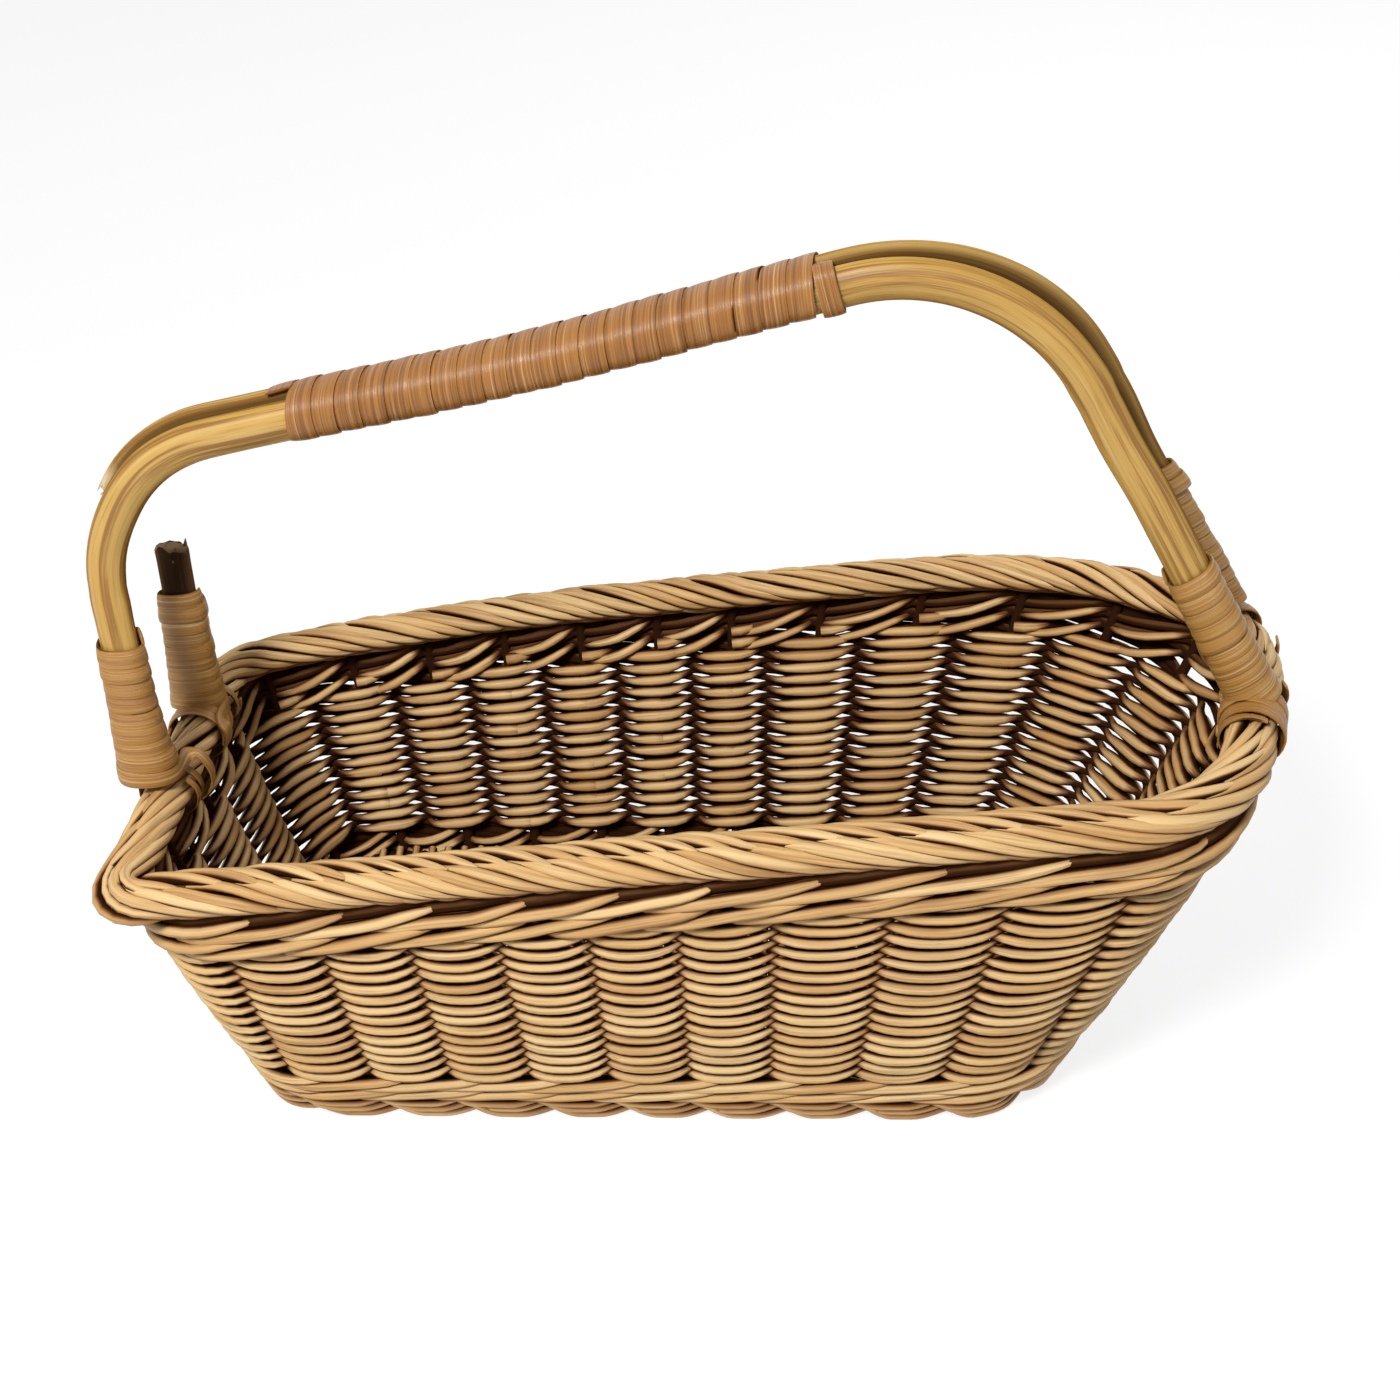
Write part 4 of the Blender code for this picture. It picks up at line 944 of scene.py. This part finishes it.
def canePiece(name, node, side, begin, end, seed, torn):
    rings, alongs, fresh = [], [], []
    for share in evenShares(int((end - begin) / handle.step)):
        distance = mix(begin, end, share)
        foot = min(distance, arch.length - distance)
        centre, heading, normal = legFrame(distance, side)
        centre = centre + normal * (side * handle.twist * soften((foot - 0.065) / 0.02))
        if torn:  # sprung outwards from its twin towards the break
            centre = centre + normal * (handle.rearLift * soften((gripFrom - 0.004 - distance) / 0.03))
        rings.append(caneSection((centre, heading, normal), side, foot, distance, handle.width, seed))
        alongs.append(distance)
        fresh.append(max(0.0, 1 - (distance - begin) / handle.freshLength) if torn else 0.0)
    meshes = [tubeMesh(name, rings, alongs, seed, caneFinish, fresh)]
    if torn:
        rand = Random(71)
        heading = legFrame(begin, side)[1]
        for j in range(handle.sides):
            meshes[0].vertices[j].co -= heading * rand.uniform(0.0, handle.tornReach)
        meshes += splinters(name + "Splinter", rings[1], -heading, 7, 0.012, rand, caneFinish)
    placeMesh(name, meshes, [node])


def splinters(name, ring, heading, count, length, rand, finish):
    meshes = []
    middle = sum(ring, Vector()) / len(ring)
    side = heading.orthogonal().normalized()
    other = heading.cross(side)
    steps = splinter.steps
    angles = [2 * pi * j / splinter.sides for j in range(splinter.sides)]
    for n in range(count):
        root = middle.lerp(ring[rand.randrange(len(ring))], rand.uniform(0.3, 0.85))
        root -= heading * splinter.sunk
        lean = Vector([rand.uniform(-1, 1) for _ in range(3)]) * splinter.lean
        reach = length * rand.uniform(0.45, 1.0)
        rings = []
        for share in evenShares(steps):
            place = root + (heading + lean * share) * (reach * share)
            size = splinter.size * (1 - share) ** 0.7 + splinter.tip
            wide, thin = side * (size * splinter.wide), other * (size * splinter.thin)
            rings.append([place + wide * cos(a) + thin * sin(a) for a in angles])
        alongs = [0.01 * i for i in range(steps + 1)]
        meshes.append(tubeMesh(f"{name}{n}", rings, alongs, rand.random(), finish, [1.0] * (steps + 1)))
    return meshes


snapStart = arch.runs[1][0] + handle.lowRadius * radians(handle.snapAngle)
canePiece("handleCaneFront", "handle_cane_front", -1, handle.tangBottom,
          arch.length - handle.tangBottom, 0.31, False)
canePiece("handleCaneRear", "handle_cane_rear", 1, snapStart, arch.length - handle.tangBottom,
          0.77, True)


def makeStub():
    rand = Random(73)
    rings, alongs, fresh = [], [], []
    count = 60
    for i in range(count + 1):
        height = mix(handle.tangBottom, handle.stubHeight - 0.003, min(1.0, i / (count - 2)))
        height += 0.0003 * max(0, i - count + 2)
        rings.append(caneSection(stubFrame(height), 1, height, height, handle.stubWidth, 0.5))
        alongs.append(height)
        fresh.append(1.0 if i == count else 0.0)
    up = stubFrame(handle.stubHeight)[1]
    mesh = tubeMesh("handleStub", rings, alongs, 0.42, oldShadedCaneFinish, fresh)
    last = len(mesh.vertices) - 2 * handle.sides
    for j in range(handle.sides):
        pull = up * (0.0030 * rand.random() ** 1.4)
        for ring in range(2):
            mesh.vertices[last + ring * handle.sides + j].co += pull
    meshes = [mesh] + splinters("stubSplinter", rings[-2], up, 6, 0.006, rand, oldShadedCaneFinish)
    placeMesh("handleStub", meshes, ["handle_stub_rear_low"])


makeStub()


# bindings of flat peel

binding = SimpleNamespace(
    thickness=0.0008, clearance=0.0005, gripWidth=0.0055, gripTurns=22, gripGap=0.85,
    legWidth=0.0044, legPitch=0.0041, rise=0.0005, legSlits=0.55, squareness=2.3,
    across=7, loopSteps=28, lap=1.10, tilt=0.00024, hug=0.0010,
    # the last loop of the grip
    lastBack=0.0042, lastPitch=0.0006, lastTurns=1.15, lastWidth=0.0050, gripSlits=0.25,
    # each leg's strip turns off along the border and is tied round it
    tieRun=0.0052, tieBend=0.0030, tieEnd=-200.0, tieSteps=28,
    loopStart=205.0, loopLap=0.86, loopSlits=0.40, borderSteps=26,
)
stripOffset = binding.clearance + binding.thickness / 2


def loopPoint(angle, halfAcross, outer, inner):
    c, s = cos(angle), sin(angle)
    halfDeep = outer if s >= 0 else inner
    power = 2 / binding.squareness
    across = halfAcross * abs(c) ** power * (1 if c >= 0 else -1)
    deep = halfDeep * abs(s) ** power * (1 if s >= 0 else -1)
    return across, deep, Vector((c * halfDeep, s * halfAcross)).normalized()


def ribbonMesh(name, stations, seed, finish, tilt, slits):
    # a crowned strip: place, normal, width direction and width at each station; slits: how much painted
    # shade darkens its edges
    shares = [share * 2 - 1 for share in evenShares(binding.across - 1)]
    rings, fibre, facing, along = [], [], [], 0.0
    for i, (place, normal, across, width) in enumerate(stations):
        if i:
            along += (place - stations[i - 1][0]).length
        ring = []
        for way, order in ((1, shares), (-1, shares[::-1])):
            for share in order:
                crown = 0.00006 * (1 - share * share)
                thin = binding.thickness / 2 * (1 - 0.45 * abs(share) ** 3)
                spot = place + across * (share * width / 2) + normal * (crown + tilt * share)
                ring.append(spot + normal * (way * thin))
                fibre += [share, 0.4 * way, along]
                # the edges take painted shade, more at some places along the strip; the inner side takes
                # painted shade all along
                edgeShadeNoise = waver(along * 90, seed * 9, share)
                dark = slits + (1 - slits) * soften(4 * edgeShadeNoise - 1)
                facing.append(1.0 - dark * abs(share) ** 9 if way > 0 else 0.3)
        rings.append(ring)
    mesh = ringMesh(name, rings, finish, seed, fibre, facing, [0.0] * len(facing))
    mesh.set_sharp_from_angle(angle=radians(50.0))
    return mesh


def gripStations(begin, pitch, turns, sideOf, width):  # sideOf: -1 for the front cane alone, 0 for both
    halfAcross = handle.width / 2 + stripOffset
    single = (handle.outerDepth + handle.innerDepth) / 2 + stripOffset
    halfDeep = single if sideOf else caneCentre + handle.outerDepth + stripOffset
    aside = sideOf * (caneCentre + (handle.outerDepth - handle.innerDepth) / 2)
    stations = []
    for i in range(int(turns * binding.loopSteps) + 1):
        share = i / binding.loopSteps
        sway = 0.0010 * waver(share * 0.9, 3.1, sideOf)
        point, heading = arch.at(begin + share * pitch + sway)
        normal = Vector((-heading.y, 0.0, heading.x))
        lift = 1 + 0.030 * waver(share * 0.8, 7.7, sideOf)
        across, deep, slope = loopPoint(2 * pi * share, halfAcross * lift, halfDeep * lift, halfDeep * lift)
        across += handle.twist * (aside + deep) / (caneCentre + handle.outerDepth)
        place = Vector((point.x, 0.0, point.y)) + normal * across + Vector((0.0, aside + deep, 0.0))
        facing = normal * slope.x + Vector((0.0, slope.y, 0.0))
        wide = width * (1 + 0.10 * waver(share * 1.3, 1.0, sideOf))
        if sideOf:  # its end narrows
            wide *= mix(0.5, 1.0, soften(i / 12))
        stations.append((place, facing, Vector((heading.x, 0.0, heading.y)), wide))
    return stations


def makeGripWrap():
    pitch = (gripTo - gripFrom - binding.gripWidth) / binding.gripTurns
    stations = gripStations(gripFrom + binding.gripWidth / 2, pitch, binding.gripTurns - binding.gripGap, 0,
                            pitch * binding.lap)
    main = ribbonMesh("gripWrap", stations, 0.35, gripFinish, binding.tilt, binding.gripSlits)
    stations = gripStations(gripTo - binding.lastBack, binding.lastPitch, binding.lastTurns, -1,
                            binding.lastWidth)
    last = ribbonMesh("gripLoop", stations, 0.8, gripFinish, 0.0, binding.gripSlits)
    placeMesh("gripWrap", [main, last], ["grip_wrap"])


makeGripWrap()


def borderAt(y, inward):  # the middle of the border across one end of the basket
    plan, facing = rimPlan.at(rimPlan.lowMiddle - y if inward > 0 else rimPlan.highMiddle + y)
    return Vector((plan.x, plan.y, rimHeight(plan.x))), facing


def tieStations(start, inward, side):
    place, facing, _, _ = start
    sideways = Vector((0.0, side, 0.0))
    reachX = rimRods.width / 2 + binding.hug
    reachZ = rimRods.height / 2 + binding.hug
    run, bend = binding.tieRun, binding.tieBend
    y = place.y + side * (run + bend)
    middle = borderAt(y, inward)[0]
    middle.y = y

    def reading(spot):
        x, z = (spot.x - middle.x) * inward / reachX, (spot.z - middle.z) / reachZ
        return atan2(z, x), sqrt(x * x + z * z)

    def outAt(angle):
        return Vector((inward * reachZ * cos(angle), 0.0, reachX * sin(angle))).normalized()

    begin, _ = reading(place)
    target = outAt(begin)
    travel = sideways.cross(target) * (side * inward)
    route = [(place + sideways * (run * step / 4), sideways) for step in range(1, 5)]
    for step in range(1, 9):
        angle = pi / 2 * step / 8
        turn = sideways * (run + bend * sin(angle)) + travel * (bend * (1 - cos(angle)))
        route.append((place + turn, sideways * cos(angle) + travel * sin(angle)))
    stations = []
    for step, (spot, heading) in enumerate(route):
        outward = facing.lerp(target, (step + 1) / len(route)).normalized()
        stations.append((spot, outward, heading.cross(outward) * (-side * inward), binding.legWidth))
    begin, swell = reading(route[-1][0])
    for share in evenShares(binding.tieSteps)[1:]:
        angle = mix(begin, radians(binding.tieEnd), share)
        size = mix(swell, 1.0, min(1.0, 2 * share))
        spot = Vector((inward * cos(angle) * reachX, 0.0, sin(angle) * reachZ)) * size
        stations.append((middle + spot, outAt(angle), sideways, binding.legWidth))
    return stations


def borderLoops(name, y, way, inward, turns, width, seed):  # a strip wound round the border
    rand = Random(seed)
    stations = []
    steps = int(turns * binding.borderSteps)
    for i in range(steps + 1):
        turn = i / binding.borderSteps
        sway = 0.0006 * waver(turn * 1.4, seed, 0.0)
        across = y + way * (turn * width * binding.loopLap + sway)
        middle, facing = borderAt(across, inward)
        angle = radians(binding.loopStart) - 2 * pi * turn
        hug = binding.hug * (1.3 + 0.6 * waver(turn * 2.1, 3.0, seed))
        out = facing.to_3d() * cos(angle)
        place = middle + out * (rimRods.width / 2 + hug)
        place.z += sin(angle) * (rimRods.height / 2 + hug)
        normal = (out + Vector((0.0, 0.0, sin(angle)))).normalized()
        wide = width * mix(0.45, 1.0, soften(min(i, steps - i) / 16))
        stations.append((place, normal, Vector((-facing.y, facing.x, 0.0)) * (inward * way), wide))
    return ribbonMesh(name, stations, rand.random(), legFinish, -0.4 * binding.tilt,
                      binding.loopSlits)


def legWrap(name, node, frameAt, inward, side, turns, flare, sink, knots, loops, seed):
    halfAcross = handle.width / 2 + stripOffset
    outer, inner = handle.outerDepth + stripOffset, handle.innerDepth + stripOffset
    sideways = Vector((0.0, side, 0.0))
    foot = basket.borderReach + binding.legWidth / 2 + binding.rise - sink
    stations = []
    steps = turns * binding.loopSteps
    for i in range(steps + 1):
        share = (steps - i) / binding.loopSteps
        centre, up, inwards = frameAt(foot + share * binding.legPitch)
        inwards = inwards * (1 if inwards.x * inward > 0 else -1)
        grow = 1 + flare * (1 - share / turns) ** 2
        grow += 0.06 * waver(share * 1.1, seed * 9, 0.0)
        for place, size in knots:
            grow += size * exp(-((share - place) / 0.55) ** 2)
        across, deep, slope = loopPoint(2 * pi * share, halfAcross * grow, outer * grow, inner * grow)
        place = centre + inwards * across + sideways * deep
        wide = binding.legPitch * (1.14 + 0.10 * waver(share * 1.9, seed * 5, 2.0))
        stations.append((place, inwards * slope.x + sideways * slope.y, up, wide))
    stations += tieStations(stations[-1], inward, -side)
    meshes = [ribbonMesh(name, stations, seed, legFinish, -binding.tilt, binding.legSlits)]
    for n, (y, way, count, width) in enumerate(loops):
        meshes.append(borderLoops(f"{name}Loop{n}", y, way, inward, count, width, n + seed))
    placeMesh(name, meshes, [node])


def lowLeg(side):
    return lambda height: legFrame(height, side)


def highLeg(side):
    def reading(height):
        centre, heading, normal = legFrame(arch.length - height, side)
        return centre, -heading, normal
    return reading


# where, inward, side, turns, flare, how low it starts; knots: turn from the foot, how far it stands
# out; loops: start along the border, way, turns, width; seed
legWraps = (
    ("FrontLow", "front_low", lowLeg(-1), 1, -1, 9, 0.30, 0.0, ((0.9, 0.10),),
     ((-0.0125, -1, 1.2, 0.0050),), 0.15),
    ("RearLow", "rear_low", stubFrame, 1, 1, 9, 0.30, 0.0040, ((7.9, 0.08),),
     ((0.0105, 1, 2.3, 0.0044), (0.0255, 1, 1.1, 0.0036)), 0.45),
    ("FrontHigh", "front_high", highLeg(-1), -1, -1, 10, 0.04, 0.0040, ((0.5, 0.06),),
     ((-0.0185, -1, 3.4, 0.0048),), 0.65),
    ("RearHigh", "rear_high", highLeg(1), -1, 1, 12, 0.04, 0.0, ((10.8, 0.24), (4.0, 0.10)),
     ((0.0185, 1, 2.2, 0.0044),), 0.85),
)
for place, node, *rest in legWraps:
    legWrap("legWrap" + place, "leg_wrap_" + node, *rest)


# studio and camera

studio = dict(
    turn=4.87, lift=34.0, roll=3.15, distance=0.51326, target=(0.01349, 0.0, 0.10103),
    lens=48.6, world=0.25, keyPower=12.3, keySize=0.26, keyPlace=(-0.31, -0.69, 1.00),
    fillPower=3.9, fillSize=0.9, fillPlace=(0.45, 0.85, 0.85), lightAim=(0.0, 0.0, 0.08),
    floorReach=3.0, glow=1.14, glowShare=0.72,
)


def makeCamera():
    turn, lift, roll = (radians(studio[key]) for key in ("turn", "lift", "roll"))
    back = Vector((sin(turn) * cos(lift), -cos(turn) * cos(lift), sin(lift)))
    place = Vector(studio["target"]) + back * studio["distance"] + originShift
    right = (-back).cross(Vector((0.0, 0.0, 1.0))).normalized()
    up = right.cross(-back)
    across = right * cos(roll) - up * sin(roll)
    upward = right * sin(roll) + up * cos(roll)
    lens = bpy.data.cameras.new("photoCamera")
    lens.lens = studio["lens"]
    lens.sensor_width = 36.0
    lens.clip_start = 0.01
    camera = addItem("photoCamera", lens)
    camera.matrix_world = Matrix((across, upward, back)).transposed().to_4x4()
    camera.location = place
    bpy.context.scene.camera = camera


def seenByCamera(tree):  # by the eye, or in a reflection
    path = addNode(tree, "ShaderNodeLightPath").outputs
    mirrored = mathNode(tree, "MAXIMUM", path["Is Glossy Ray"], path["Is Transmission Ray"])
    return mathNode(tree, "MAXIMUM", path["Is Camera Ray"], mirrored)


def makeStudio():
    world = bpy.data.worlds.new("studio")
    bpy.context.scene.world = world
    world.use_nodes = True
    tree = world.node_tree
    background = tree.nodes["Background"]
    background.inputs["Color"].default_value = (1.0, 1.0, 1.0, 1.0)
    feed(tree, background.inputs["Strength"],
         mathNode(tree, "MULTIPLY_ADD", seenByCamera(tree), 1.0 - studio["world"], studio["world"]))

    mesh = bpy.data.meshes.new("floor")
    size = studio["floorReach"]
    corners = [(-size, -size, 0), (size, -size, 0), (size, size, 0), (-size, size, 0)]
    mesh.from_pydata(corners, [], [(0, 1, 2, 3)])
    floor = addItem("floor", mesh)
    paint = bpy.data.materials.new("paleFloor")
    paint.use_nodes = True
    tree = paint.node_tree
    shader = tree.nodes["Principled BSDF"]
    shader.inputs["Base Color"].default_value = (0.86, 0.86, 0.86, 1.0)
    shader.inputs["Roughness"].default_value = 0.9
    glow = addNode(tree, "ShaderNodeEmission", {"Strength": studio["glow"]})
    share = mathNode(tree, "MULTIPLY", seenByCamera(tree), studio["glowShare"])  # the rest keeps the shadow
    blend = addNode(tree, "ShaderNodeMixShader", {0: share, 1: shader.outputs[0], 2: glow.outputs[0]})
    feed(tree, tree.nodes["Material Output"].inputs["Surface"], blend.outputs[0])
    mesh.materials.append(paint)

    for part in ("key", "fill"):
        lamp = bpy.data.lights.new(part + "Light", "AREA")
        lamp.energy = studio[part + "Power"]
        lamp.size = studio[part + "Size"]
        item = addItem(part + "Light", lamp)
        item.location = studio[part + "Place"]
        aim = Vector(studio["lightAim"]) - item.location
        item.rotation_euler = aim.to_track_quat("-Z", "Y").to_euler()
    bpy.context.scene.view_settings.view_transform = "Standard"


makeCamera()
makeStudio()
print("studio and camera set")
